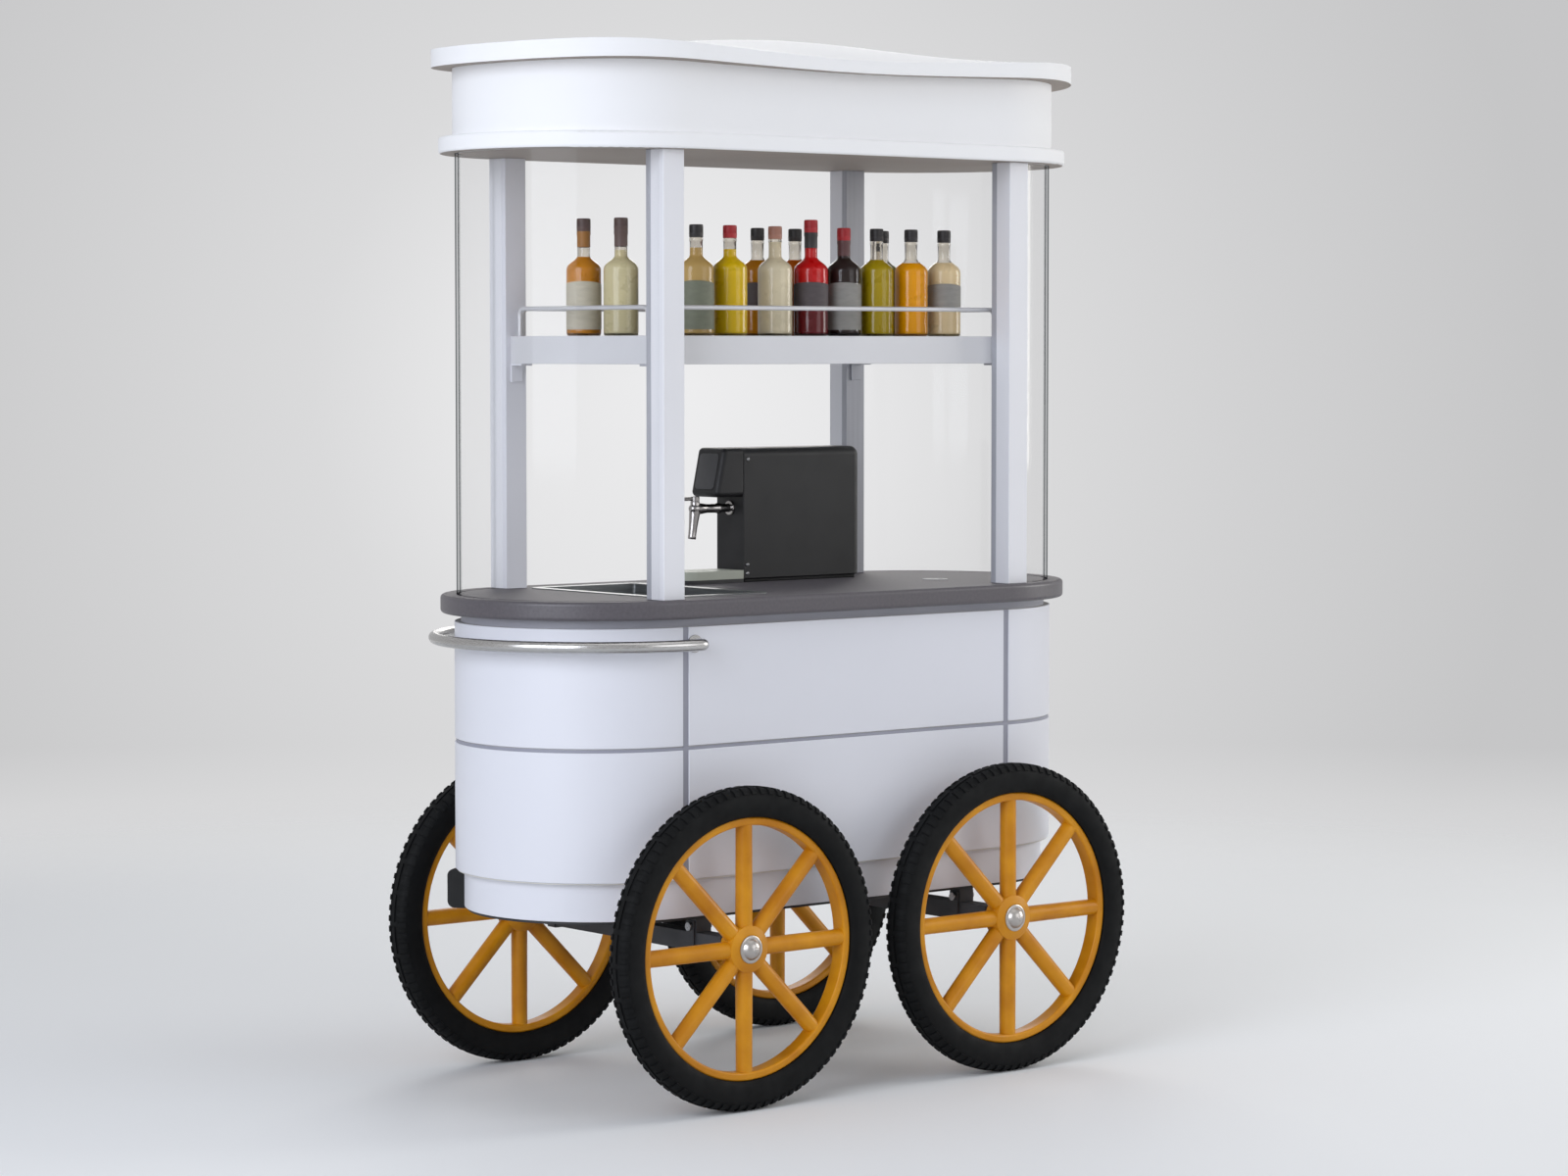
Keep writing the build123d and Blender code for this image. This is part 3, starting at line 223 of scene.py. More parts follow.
bpy.ops.object.select_all(action="DESELECT")
bpy.ops.mesh.primitive_circle_add(vertices=FLOOR_SIDES, radius=FLOOR_R, fill_type="NGON")
floor = bpy.context.object
floor.name = "studio_floor"
floor_paint = blank("studio_floor")
nodes, links, surface = inside(floor_paint)
surface.inputs["Base Color"].default_value = FLOOR_COLOUR
surface.inputs["Roughness"].default_value = FLOOR_ROUGH
surface.inputs["Specular IOR Level"].default_value = FLOOR_SHINE
place = nodes.new("ShaderNodeTexCoord")
reach = nodes.new("ShaderNodeVectorMath")
reach.operation = "LENGTH"
links.new(place.outputs["Object"], reach.inputs[0])
fade = nodes.new("ShaderNodeMapRange")
fade.interpolation_type = "SMOOTHSTEP"
fade.inputs["From Min"].default_value = FLOOR_FADE[0] * FLOOR_R
fade.inputs["From Max"].default_value = FLOOR_FADE[1] * FLOOR_R
links.new(reach.outputs["Value"], fade.inputs["Value"])
clear = nodes.new("ShaderNodeBsdfTransparent")
faded = either(nodes, links, fade.outputs["Result"], surface, clear)
links.new(faded, nodes["Material Output"].inputs["Surface"])
floor.data.materials.append(floor_paint)
print("floor", FLOOR_R, "m in radius")

# %% [markdown]
# Studio light is soft because its sources are large. One big cool panel lights the handle end from the left, a second
# one hangs overhead, and weaker ones fill the guests' side and draw edges from the right and from behind. Each lamp is
# aimed at the cart, and glass doesn't show the lamps through it, because they would look like white spots in the necks.

# %% Lamps
LAMPS = {
    "left_panel": ((-7.0, -2.2, 3.5), 5.0, 372, (0.87, 0.91, 1.0)),
    "overhead": ((0.4, -0.6, 5.6), 4.5, 40, (1.0, 0.99, 0.98)),
    "guest_side": ((1.6, -6.2, 3.0), 3.5, 62, (0.98, 0.98, 1.0)),
    "right_edge": ((5.4, -2.4, 2.4), 2.5, 106, (1.0, 0.985, 0.95)),
    "rear_edge": ((3.6, 4.6, 3.8), 3.0, 90, (1.0, 0.98, 0.95)),
}
AIM = Vector((0, 0, 1.0))
for name, (spot, size, power, colour) in LAMPS.items():
    bpy.ops.object.light_add(type="AREA", location=spot)
    lamp = bpy.context.object
    lamp.name = name
    lamp.data.size = size
    lamp.data.energy = power
    lamp.data.color = colour
    lamp.visible_transmission = False
    lamp.rotation_euler = (AIM - Vector(spot)).to_track_quat("-Z", "Y").to_euler()
print(len(LAMPS), "lamps")

# %% [markdown]
# A finish is more than a colour. Most of the cart's finishes share one recipe: a cloudy tint, a roughness that drifts
# a little, and a fine relief. The recipe reads Object coordinates, so a pattern stays fixed to its piece.

# %% The shared recipe for a finish
CLOUD_LOW, CLOUD_HIGH = 0.3, 0.7
SMUDGE_RATIO = 2.7


def pattern(nodes, links, scale, stretch=(1, 1, 1), detail=4.0):
    """Cloudy pattern in the object's own coordinates, stretched along an axis where the finish has a grain."""
    place = nodes.new("ShaderNodeTexCoord")
    mapping = nodes.new("ShaderNodeMapping")
    mapping.inputs["Scale"].default_value = stretch
    links.new(place.outputs["Object"], mapping.inputs["Vector"])
    noise = nodes.new("ShaderNodeTexNoise")
    noise.inputs["Scale"].default_value = scale
    noise.inputs["Detail"].default_value = detail
    links.new(mapping.outputs["Vector"], noise.inputs["Vector"])
    return noise.outputs["Fac"]


def ranged(nodes, links, value, low, high, start=CLOUD_LOW, stop=CLOUD_HIGH):
    """The value, stretched to a new range. Without a start and a stop it is a cloudy pattern in its usual range."""
    spread = nodes.new("ShaderNodeMapRange")
    spread.inputs["From Min"].default_value = start
    spread.inputs["From Max"].default_value = stop
    spread.inputs["To Min"].default_value = low
    spread.inputs["To Max"].default_value = high
    links.new(value, spread.inputs["Value"])
    return spread.outputs["Result"]


def tint(nodes, links, value, first, second):
    """Two colours mixed by a pattern."""
    ramp = nodes.new("ShaderNodeValToRGB")
    for stop, position, colour in zip(ramp.color_ramp.elements, (CLOUD_LOW, CLOUD_HIGH), (first, second)):
        stop.position = position
        stop.color = colour
    links.new(value, ramp.inputs[0])
    return ramp.outputs["Color"]


def relief(nodes, links, value, depth):
    """Fine relief of the given depth in metres."""
    bump = nodes.new("ShaderNodeBump")
    bump.inputs["Strength"].default_value = 1.0
    bump.inputs["Distance"].default_value = depth
    links.new(value, bump.inputs["Height"])
    return bump.outputs["Normal"]


def finish(name, first, second, rough, cloud, grain, depth, stretch=(1, 1, 1), metallic=0.0, shine=0.5):
    """Material with two tints, a drifting roughness and a fine relief, from a pattern of clouds and one of grain."""
    material = blank(name)
    nodes, links, shader = inside(material)
    clouds = pattern(nodes, links, cloud, stretch)
    links.new(tint(nodes, links, clouds, first, second), shader.inputs["Base Color"])
    smudges = pattern(nodes, links, cloud * SMUDGE_RATIO, stretch)
    links.new(ranged(nodes, links, smudges, *rough), shader.inputs["Roughness"])
    fine = pattern(nodes, links, grain, stretch, detail=2.0)
    links.new(relief(nodes, links, fine, depth), shader.inputs["Normal"])
    shader.inputs["Metallic"].default_value = metallic
    shader.inputs["Specular IOR Level"].default_value = shine
    return material


print("recipe ready")

# %% [markdown]
# Now the finishes by name. The panels are white laminate, the wheels ochre paint, the counter a dark speckled laminate.
# Brushed steel gets its lines from a pattern that is squeezed along one axis until it turns into streaks.

# %% Finishes of the cart
panel_white = finish("panel_white", linear(219, 220, 227), linear(223, 224, 231), (0.36, 0.42), 1.2, 420, 0.00003)
canopy_white = finish(
    "canopy_white", linear(241, 241, 242), linear(244, 244, 245), (0.52, 0.62), 1.0, 300, 0.00004, shine=0.2
)
post_white = finish("post_white", linear(226, 226, 230), linear(230, 230, 234), (0.36, 0.44), 3.0, 900, 0.00005)
shelf_grey = finish("shelf_grey", linear(208, 208, 211), linear(214, 214, 217), (0.36, 0.46), 3.0, 900, 0.00005)
liner_grey = finish(
    "liner_grey", linear(162, 163, 170), linear(172, 173, 180), (0.34, 0.44), 4.0, 60, 0.00003, (30, 30, 1)
)
seam_grey = finish("seam_grey", linear(142, 143, 155), linear(152, 153, 165), (0.4, 0.5), 4.0, 500, 0.00003)
neck_grey = finish("neck_grey", linear(176, 176, 186), linear(186, 186, 195), (0.45, 0.6), 4.0, 500, 0.00004)
board_white = finish("board_white", linear(205, 203, 198), linear(216, 214, 209), (0.5, 0.62), 3.0, 250, 0.00008)
counter_grey = finish(
    "counter_grey", linear(77, 73, 78), linear(86, 82, 87), (0.62, 0.72), 150, 700, 0.00002, shine=0.6
)
wheel_ochre = finish(
    "wheel_ochre", linear(183, 115, 4), linear(212, 145, 19), (0.32, 0.48), 11, 260, 0.00010, shine=0.3
)
tyre_rubber = finish("tyre_rubber", linear(9, 10, 11), linear(16, 17, 18), (0.6, 0.76), 14, 500, 0.00012, shine=0.15)
frame_paint = finish("frame_paint", linear(52, 53, 57), linear(64, 65, 69), (0.45, 0.6), 8, 400, 0.00008)
pan_metal = finish("pan_metal", linear(28, 28, 31), linear(38, 38, 41), (0.40, 0.55), 6, 300, 0.00006)
bright_chrome = finish(
    "bright_chrome", linear(176, 172, 168), linear(190, 186, 182), (0.30, 0.38), 8, 300, 0.00001, metallic=1.0
)
tap_chrome = finish(
    "tap_chrome", linear(150, 147, 146), linear(166, 163, 162), (0.14, 0.22), 8, 300, 0.00001, metallic=1.0
)
stainless = finish(
    "stainless", linear(176, 175, 174), linear(196, 195, 194), (0.18, 0.32), 3, 12, 0.00002, (6, 6, 260), metallic=1.0
)
sink_steel = finish(
    "sink_steel", linear(118, 121, 122), linear(136, 139, 140), (0.30, 0.42), 3, 12, 0.00002, (6, 6, 120), metallic=0.9
)
rail_silver = finish(
    "rail_silver", linear(200, 200, 203), linear(210, 210, 213), (0.34, 0.44), 6, 500, 0.00003, metallic=0.35
)
bearing_steel = finish(
    "bearing_steel", linear(150, 150, 152), linear(172, 172, 174), (0.25, 0.4), 20, 400, 0.00003, metallic=1.0
)
black_plastic = finish(
    "black_plastic", linear(15, 15, 16), linear(22, 22, 23), (0.45, 0.6), 12, 900, 0.00008, shine=0.25
)
charcoal = finish(
    "charcoal_plastic", linear(20, 20, 22), linear(25, 25, 27), (0.42, 0.56), 6, 1300, 0.00010, shine=0.38
)
plate_grey = finish("plate_grey", linear(50, 50, 52), linear(56, 56, 58), (0.36, 0.48), 6, 1300, 0.00006)
grid_pale = finish("grid_plastic", linear(166, 169, 156), linear(178, 181, 168), (0.4, 0.55), 10, 900, 0.00006)
cover_grey = finish("cover_grey", linear(132, 131, 133), linear(140, 139, 141), (0.4, 0.55), 10, 900, 0.00006)
tray_pale = finish("tray_plastic", linear(160, 163, 150), linear(172, 175, 162), (0.4, 0.55), 10, 900, 0.00006)
tank_milky = finish("tank_plastic", linear(205, 210, 214), linear(218, 222, 226), (0.4, 0.5), 6, 200, 0.00010)
TANK_MILKINESS = 0.2
inside(tank_milky)[2].inputs["Subsurface Weight"].default_value = TANK_MILKINESS
print("finishes", len(bpy.data.materials))

# %% [markdown]
# Some pieces don't look the same all over. The canopy's boards get painted shade on the faces that look down: a warm
# grey that stands in for the shadow under them. Hands polish the counter's rim, the liner of the post behind the handle
# is lighter, and the drip tray stands on a dark foot. Each could be cut into two pieces, but a share that follows the
# way a face looks, or its place, keeps the piece whole. The pairs of values say where such a change starts and where it
# ends.

# %% Finishes that change over a piece
# Faces that look down between these two values get the painted shade.
SHADED_UNDERSIDE = (-0.98, -0.85)
RIM = (0.7, 0.98)
RIM_ROUGH, TOP_ROUGH = 0.40, 0.66
LINER_CHANGE = (0.35, 0.55)
TRAY_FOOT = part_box("drip_tray")[0].z
TRAY_BASE = (0.009, 0.0085)


def looking_up(nodes, links, low, high, start, stop):
    """Value that follows how far a face looks up: minus one is straight down, zero sideways, one straight up."""
    place = nodes.new("ShaderNodeTexCoord")
    split = nodes.new("ShaderNodeSeparateXYZ")
    links.new(place.outputs["Normal"], split.inputs[0])
    return ranged(nodes, links, split.outputs["Z"], low, high, start, stop)


def painted_shade_underside(material, colour):
    """Paint shade onto the faces that look straight down, as a darker tint that stands in for their shadow."""
    nodes, links, shader = inside(material)
    paint = shader.inputs["Base Color"].links[0].from_socket
    outer = looking_up(nodes, links, 0.0, 1.0, *SHADED_UNDERSIDE)
    links.new(mixed(nodes, links, outer, colour, paint), shader.inputs["Base Color"])


def glossy_sides(material):
    """Polish the faces that look sideways more than those that look up."""
    nodes, links, shader = inside(material)
    links.new(looking_up(nodes, links, RIM_ROUGH, TOP_ROUGH, *RIM), shader.inputs["Roughness"])


def along(nodes, links, direction, start, stop):
    """Share from zero to one along a direction, between two distances from the origin in metres."""
    place = nodes.new("ShaderNodeTexCoord")
    reach = nodes.new("ShaderNodeVectorMath")
    reach.operation = "DOT_PRODUCT"
    reach.inputs[1].default_value = direction
    links.new(place.outputs["Object"], reach.inputs[0])
    return ranged(nodes, links, reach.outputs["Value"], 0.0, 1.0, start, stop)


def second_tint(material, colour, direction, start, stop):
    """Let the finish pass over to another tint along a direction."""
    nodes, links, shader = inside(material)
    paint = shader.inputs["Base Color"].links[0].from_socket
    share = along(nodes, links, direction, start, stop)
    links.new(mixed(nodes, links, share, paint, colour), shader.inputs["Base Color"])


# Painted shade: the canopy's downward faces take a darker warm grey in place of the shadow under the canopy.
painted_shade_underside(canopy_white, linear(152, 142, 134))
glossy_sides(counter_grey)
second_tint(liner_grey, linear(222, 222, 228), (-1, 1, 0), *LINER_CHANGE)
second_tint(tray_pale, linear(30, 30, 32), (0, 0, -1), *(-TRAY_FOOT - height for height in TRAY_BASE))
print("tray foot at", round(TRAY_FOOT, 3), "m")

# %% [markdown]
# The cart has two kinds of glass. A bottle is a shell with a real wall, so light bends in it, and a long way through
# the wall darkens it. An end pane is wide and thin: bent light would only add noise there, so it lets light straight
# through, draws its outline darker and shows its smears in a faint shine.

# %% Glass
GLASS_IOR = 1.38
SMEAR_SCALE, SMEAR_STRETCH = 5, (1, 1, 0.3)
SMEAR_BOTTLE, SMEAR_PANE = (0.02, 0.06), (0.02, 0.10)
PANE_CLEAR, PANE_EDGE = (0.995, 0.995, 0.995, 1), (0.30, 0.32, 0.33, 1)
PANE_TURN = (0.80, 0.93)
PANE_SHINE = 0.05


def clear_glass(name, colour, density, body_tone, neck_tone, neck_z):
    """Clear glass whose colour shows where a ray runs a long way inside it, and that is duller in the thick neck."""
    material = blank(name)
    nodes, links, shader = inside(material)
    neck = along(nodes, links, (0, 0, 1), *neck_z)
    links.new(mixed(nodes, links, neck, body_tone, neck_tone), shader.inputs["Base Color"])
    shader.inputs["Transmission Weight"].default_value = 1.0
    shader.inputs["IOR"].default_value = GLASS_IOR
    smears = pattern(nodes, links, SMEAR_SCALE, SMEAR_STRETCH)
    links.new(ranged(nodes, links, smears, *SMEAR_BOTTLE), shader.inputs["Roughness"])
    absorb = nodes.new("ShaderNodeVolumeAbsorption")
    absorb.inputs["Color"].default_value = colour
    absorb.inputs["Density"].default_value = density
    links.new(absorb.outputs[0], nodes["Material Output"].inputs["Volume"])
    return material


def pane_glass(name):
    """Clear bent pane: light goes straight through, the outline draws a dark edge, and smears show in a faint shine."""
    material = blank(name)
    nodes, links, shader = inside(material)
    nodes.remove(shader)
    turned = nodes.new("ShaderNodeLayerWeight")
    edge = nodes.new("ShaderNodeValToRGB")
    for stop, position, colour in zip(edge.color_ramp.elements, PANE_TURN, (PANE_CLEAR, PANE_EDGE)):
        stop.position = position
        stop.color = colour
    links.new(turned.outputs["Facing"], edge.inputs[0])
    through = nodes.new("ShaderNodeBsdfTransparent")
    links.new(edge.outputs["Color"], through.inputs["Color"])
    shine = nodes.new("ShaderNodeBsdfGlossy")
    smears = pattern(nodes, links, SMEAR_SCALE, SMEAR_STRETCH)
    links.new(ranged(nodes, links, smears, *SMEAR_PANE), shine.inputs["Roughness"])
    share = ranged(nodes, links, turned.outputs["Fresnel"], 0.0, PANE_SHINE, 0.0, 1.0)
    links.new(either(nodes, links, share, through, shine), nodes["Material Output"].inputs["Surface"])
    return material


end_glass = pane_glass("end_glass")
print("glass ready")

# %% [markdown]
# The measured nodes whose shape is already right keep it and only get their finish. A node has one material slot, so
# the finish goes into slot zero.

# %% Dress the measured nodes
CORNERS = ("front_left", "front_right", "back_left", "back_right")
PANELS = [
    "end_panels_lower", "end_panels_upper", "front_panel_lower", "front_panel_upper", "back_panels", "service_flap",
    "skirt_band",
]
DRESSED = [
    (panel_white, PANELS),
    (canopy_white, ["cornice", "fascia", "roof"]),
    (post_white, ["posts"]),
    (liner_grey, ["post_liners", "shelf_brackets"]),
    (shelf_grey, ["bottle_shelf"]),
    (seam_grey, ["seam_strips"]),
    (neck_grey, ["neck_ring"]),
    (board_white, ["carcass", "deck"]),
    (counter_grey, ["counter_top"]),
    (wheel_ochre, [f"wheel_{corner}" for corner in CORNERS]),
    (tap_chrome, ["tap_lever"]),
    (stainless, ["flap_knob", "flap_hinge_leaf", "flap_hinge_base", "flap_hinge_pin", "push_handle"]),
    (sink_steel, ["sink_basin", "sink_waste"]),
    (rail_silver, ["gallery_rails"]),
    (bearing_steel, ["wheel_bearings", "axle_nuts", "clamp_bolts"]),
    (frame_paint, ["axles", "axle_hangers", "axle_clamps", "chassis_frame"]),
    (pan_metal, ["floor_pan"]),
    (black_plastic, ["lashing_lug"]),
    (tray_pale, ["drip_tray"]),
    (charcoal, ["dispenser_body", "dispenser_head"]),
    (grid_pale, ["drip_grid"]),
    (tank_milky, ["waste_tank"]),
    (end_glass, ["glass_left", "glass_right"]),
]


def dress(obj, material):
    """Give a piece one finish."""
    obj.data.materials.clear()
    obj.data.materials.append(material)


for material, names in DRESSED:
    for name in names:
        dress(cart[name], material)
print("dressed", sum(len(names) for material, names in DRESSED), "nodes")

# %% [markdown]
# Round pieces are turned as on a lathe. A plane is merged to one point, the point is extruded along the outline, and
# the outline is spun round its axis. Doubles are merged where the spin closes, and the normals are made to point out.
# A primitive cone or cylinder would be quicker, but it has no outline to shape.

# %% Lathe
MERGE_GAP = 0.00002
TURNED_STEPS = 48


def to_edit(obj):
    """Leave only this object selected, and enter edit mode on it."""
    if bpy.context.object and bpy.context.object.mode != "OBJECT":
        bpy.ops.object.mode_set(mode="OBJECT")
    bpy.ops.object.select_all(action="DESELECT")
    obj.select_set(True)
    bpy.context.view_layer.objects.active = obj
    bpy.ops.object.mode_set(mode="EDIT")


def single_point(name):
    """New object of one point at the origin, in edit mode."""
    bpy.ops.object.select_all(action="DESELECT")
    bpy.ops.mesh.primitive_plane_add(location=(0, 0, 0))
    obj = bpy.context.object
    obj.name = name
    obj.data.name = name
    bpy.ops.object.mode_set(mode="EDIT")
    bpy.ops.mesh.select_mode(type="VERT")
    bpy.ops.mesh.select_all(action="SELECT")
    bpy.ops.mesh.merge(type="CENTER")
    return obj


def lathe(name, outline, steps=TURNED_STEPS, axis="Z"):
    """Spin an outline of (radius, height) pairs, in millimetres, round an axis through the origin."""
    spindle = {"Z": Vector((0, 0, 1)), "Y": Vector((0, 1, 0)), "X": Vector((1, 0, 0))}[axis]
    out = Vector((0, 1, 0)) if axis == "X" else Vector((1, 0, 0))
    points = [(out * radius + spindle * height) * MM for radius, height in outline]
    obj = single_point(name)
    bpy.ops.transform.translate(value=points[0])
    for before, after in zip(points, points[1:]):
        bpy.ops.mesh.extrude_region_move(TRANSFORM_OT_translate={"value": after - before})
    bpy.ops.mesh.select_all(action="SELECT")
    bpy.ops.mesh.spin(steps=steps, angle=2 * math.pi, center=(0, 0, 0), axis=spindle)
    bpy.ops.mesh.select_all(action="SELECT")
    bpy.ops.mesh.remove_doubles(threshold=MERGE_GAP)
    bpy.ops.mesh.normals_make_consistent(inside=False)
    bpy.ops.object.mode_set(mode="OBJECT")
    return obj


print("lathe ready,", TURNED_STEPS, "steps")

# %% [markdown]
# Some moves come back with every new piece. Faces are selected by their place or by the way they look, shading is
# smoothed up to an angle, a copy gets a mesh of its own, and a finished piece is hung on the body it rides on while the
# measured nodes it stands for are hidden.

# %% Moves for every piece
ROUND_BELOW = 40


def pick_faces(obj, wanted):
    """In edit mode, select the faces that a test on centre and normal accepts."""
    bpy.ops.mesh.select_mode(type="FACE")
    bpy.ops.mesh.select_all(action="DESELECT")
    mesh = bmesh.from_edit_mesh(obj.data)
    count = 0
    for face in mesh.faces:
        if wanted(face.calc_center_median(), face.normal):
            face.select_set(True)
            count += 1
    bmesh.update_edit_mesh(obj.data)
    return count


def smooth(obj, angle=ROUND_BELOW):
    """Smooth shading, with edges kept sharp past an angle in degrees."""
    bpy.ops.object.select_all(action="DESELECT")
    obj.select_set(True)
    bpy.context.view_layer.objects.active = obj
    bpy.ops.object.shade_smooth_by_angle(angle=math.radians(angle))


def copy_of(obj, name, matrix):
    """Copy with its own mesh, moved in its mesh."""
    twin = obj.copy()
    twin.data = obj.data.copy()
    twin.name = name
    twin.data.name = name
    bpy.context.scene.collection.objects.link(twin)
    twin.data.transform(matrix)
    if matrix.determinant() < 0:
        twin.data.flip_normals()
    return twin


def settle(obj, body, slot, material, *nodes):
    """Dress a new piece, hang it on the body it rides on, and hide the measured nodes it stands for."""
    dress(obj, material)
    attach(obj, body)
    if nodes:
        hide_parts(*nodes)
    return obj


print("smooth below", ROUND_BELOW, "degrees")

# %% [markdown]
# No real edge is perfectly sharp, and light draws a line along every softened one. The panels, posts and boards get
# copies of their measured shape with the edges rounded: the loose triangles are merged, flat ones joined into whole
# faces, and a bevel rounds each corner that is sharper than the limit. Weighted normals then keep the large faces flat
# in the light. The plan gives the width of the rounding in millimetres.

# %% Softened edges
EDGE_STEPS = 3
EDGE_LIMIT = math.radians(40)
FLAT_WITHIN = math.radians(0.5)
SOFT_EDGES = {
    1.8: PANELS,
    1.5: ["posts", "post_liners", "bottle_shelf"],
    0.8: ["shelf_brackets", "floor_pan", "drip_tray", "drip_grid"],
    3.0: ["dispenser_body", "dispenser_head"],
    2.5: ["axles", "axle_hangers"],
}
SLOT_OF = {each["node"]: each["material_slot"] for each in frame["record"]["subparts"]}


def keep_flats(obj):
    """Smooth shading that stays flat on the large faces and turns on the small ones of a rounded edge."""
    smooth(obj, angle=35)
    flat = obj.modifiers.new("flat", "WEIGHTED_NORMAL")
    flat.keep_sharp = True
    bpy.ops.object.modifier_apply(modifier="flat")


def softened(node, width):
    """Copy of a measured node with its sharp edges rounded by a width in millimetres."""
    soft = bpy.data.objects.new(f"soft_{node}", cart[node].data.copy())
    bpy.context.scene.collection.objects.link(soft)
    to_edit(soft)
    bpy.ops.mesh.select_all(action="SELECT")
    bpy.ops.mesh.remove_doubles(threshold=MERGE_GAP)
    bpy.ops.mesh.dissolve_limited(angle_limit=FLAT_WITHIN)
    bpy.ops.object.mode_set(mode="OBJECT")
    bevel = soft.modifiers.new("round", "BEVEL")
    bevel.width = width * MM
    bevel.segments = EDGE_STEPS
    bevel.limit_method = "ANGLE"
    bevel.angle_limit = EDGE_LIMIT
    bpy.ops.object.modifier_apply(modifier="round")
    keep_flats(soft)
    settle(soft, cart[node]["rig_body"], SLOT_OF[node], cart[node].data.materials[0], node)
    return soft


for width, names in SOFT_EDGES.items():
    for name in names:
        soft = softened(name, width)
        print(soft.name, len(soft.data.polygons), "faces")

# %% [markdown]
# The tyres carry a block tread. A relief in the finish could draw it, but the tyre's outline would stay smooth, so it
# is modelled. The carcass is turned as a closed ring of 180 steps. On each shoulder every second step is lifted into a
# block, staggered from one side to the other, and a rib with gaps runs round the middle.

# %% Tyres
TYRE_OUTLINE = [
    (280.6, -21.5), (284, -25.5), (292, -28.8), (302, -30.6), (313, -31.0), (322, -30.2), (329, -28.4), (335.5, -24.6),
    (339.6, -19.0), (341.6, -12.0), (342.0, -5.0), (342.0, 5.0), (341.6, 12.0), (339.6, 19.0), (335.5, 24.6),
    (329, 28.4), (322, 30.2), (313, 31.0), (302, 30.6), (292, 28.8), (284, 25.5), (280.6, 21.5), (280.6, -21.5),
]
TREAD_STEPS = 180
TREAD_FROM_R = 325.0
BLOCK_DEPTH, RIB_DEPTH = 3.0, 2.9
BLOCK_INNER, BLOCK_OUTER = 12.0, 28.6
RIB_HALF = 5.2
RIB_GAP_EVERY = 6


def step_round(x, y, steps):
    """Number of the step, in one full turn, that a point lies in."""
    return int(math.atan2(y, x) % (2 * math.pi) / (2 * math.pi) * steps)


def on_crown(centre):
    """Whether a face lies on the part of the tyre that meets the ground."""
    return math.hypot(centre.x, centre.z) / MM > TREAD_FROM_R


def is_block(centre, normal):
    """Faces of the tread blocks, staggered on the two shoulders."""
    row = 0 if centre.y < 0 else 1
    shoulder = BLOCK_INNER < abs(centre.y) / MM < BLOCK_OUTER
    return on_crown(centre) and shoulder and step_round(centre.x, centre.z, TREAD_STEPS) % 2 == row


def is_rib(centre, normal):
    """Faces of the middle rib, with a gap at intervals."""
    near = abs(centre.y) / MM < RIB_HALF
    return on_crown(centre) and near and step_round(centre.x, centre.z, TREAD_STEPS) % RIB_GAP_EVERY != 0


first_tyre = lathe("tyre_first", TYRE_OUTLINE, TREAD_STEPS, "Y")
to_edit(first_tyre)
for wanted, rise in ((is_block, BLOCK_DEPTH), (is_rib, RIB_DEPTH)):
    found = pick_faces(first_tyre, wanted)
    bpy.ops.mesh.extrude_region_shrink_fatten(TRANSFORM_OT_shrink_fatten={"value": rise * MM})
    print("tread faces lifted", found)
bpy.ops.mesh.select_all(action="SELECT")
bpy.ops.mesh.normals_make_consistent(inside=False)
bpy.ops.object.mode_set(mode="OBJECT")
smooth(first_tyre, angle=32)


def middle(node):
    """Middle of a node's box."""
    low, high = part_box(node)
    return (low + high) / 2


for corner in CORNERS:
    tyre = copy_of(first_tyre, f"tread_tyre_{corner}", Matrix.Translation(middle(f"tyre_{corner}")))
    settle(tyre, f"{corner}_wheel", "tyre_rubber", tyre_rubber, f"tyre_{corner}")
bpy.data.objects.remove(first_tyre)
print("tyres", len(CORNERS))

# %% [markdown]
# The hub cap is a polished dome on a washer, with a small boss in its middle. It is turned too, then mirrored for the
# other side of the cart.

# %% Hub caps
HUB_CAP_OUTLINE = [
    (0, 19.0), (3.5, 18.9), (5.0, 18.2), (5.6, 17.2), (9.0, 16.4), (13.5, 14.2), (17.6, 11.0), (20.8, 7.2),
    (22.6, 4.0), (23.2, 3.2), (25.6, 3.0), (28.6, 2.6), (29.7, 1.8), (29.9, 0.2), (22.0, 0.2), (0, 0.2),
]
first_dome = lathe("dome_first", HUB_CAP_OUTLINE, axis="Y")
smooth(first_dome)
for corner in CORNERS:
    low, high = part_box(f"hub_cap_{corner}")
    centre = middle(f"hub_cap_{corner}")
    outward = 1 if centre.y > 0 else -1
    foot = low.y if outward > 0 else high.y
    place = Matrix.Translation((centre.x, foot, centre.z)) @ Matrix.Diagonal((1, outward, 1, 1))
    cap = copy_of(first_dome, f"dome_cap_{corner}", place)
    settle(cap, f"{corner}_wheel", "bright_chrome", bright_chrome, f"hub_cap_{corner}")
bpy.data.objects.remove(first_dome)
print("hub caps", len(CORNERS))

# %% [markdown]
# Each bottle is a glass shell with a real wall, the drink inside, a cap, and on some a paper label or a foil sleeve
# round the neck. The shell is turned from one outline that runs up the outside and back down the inside. A stretched
# cosine draws the shoulder: full at first, then drawn in to the neck. The drink reaches a hair into the glass, because
# a gap of air between them would show as a bright rim.

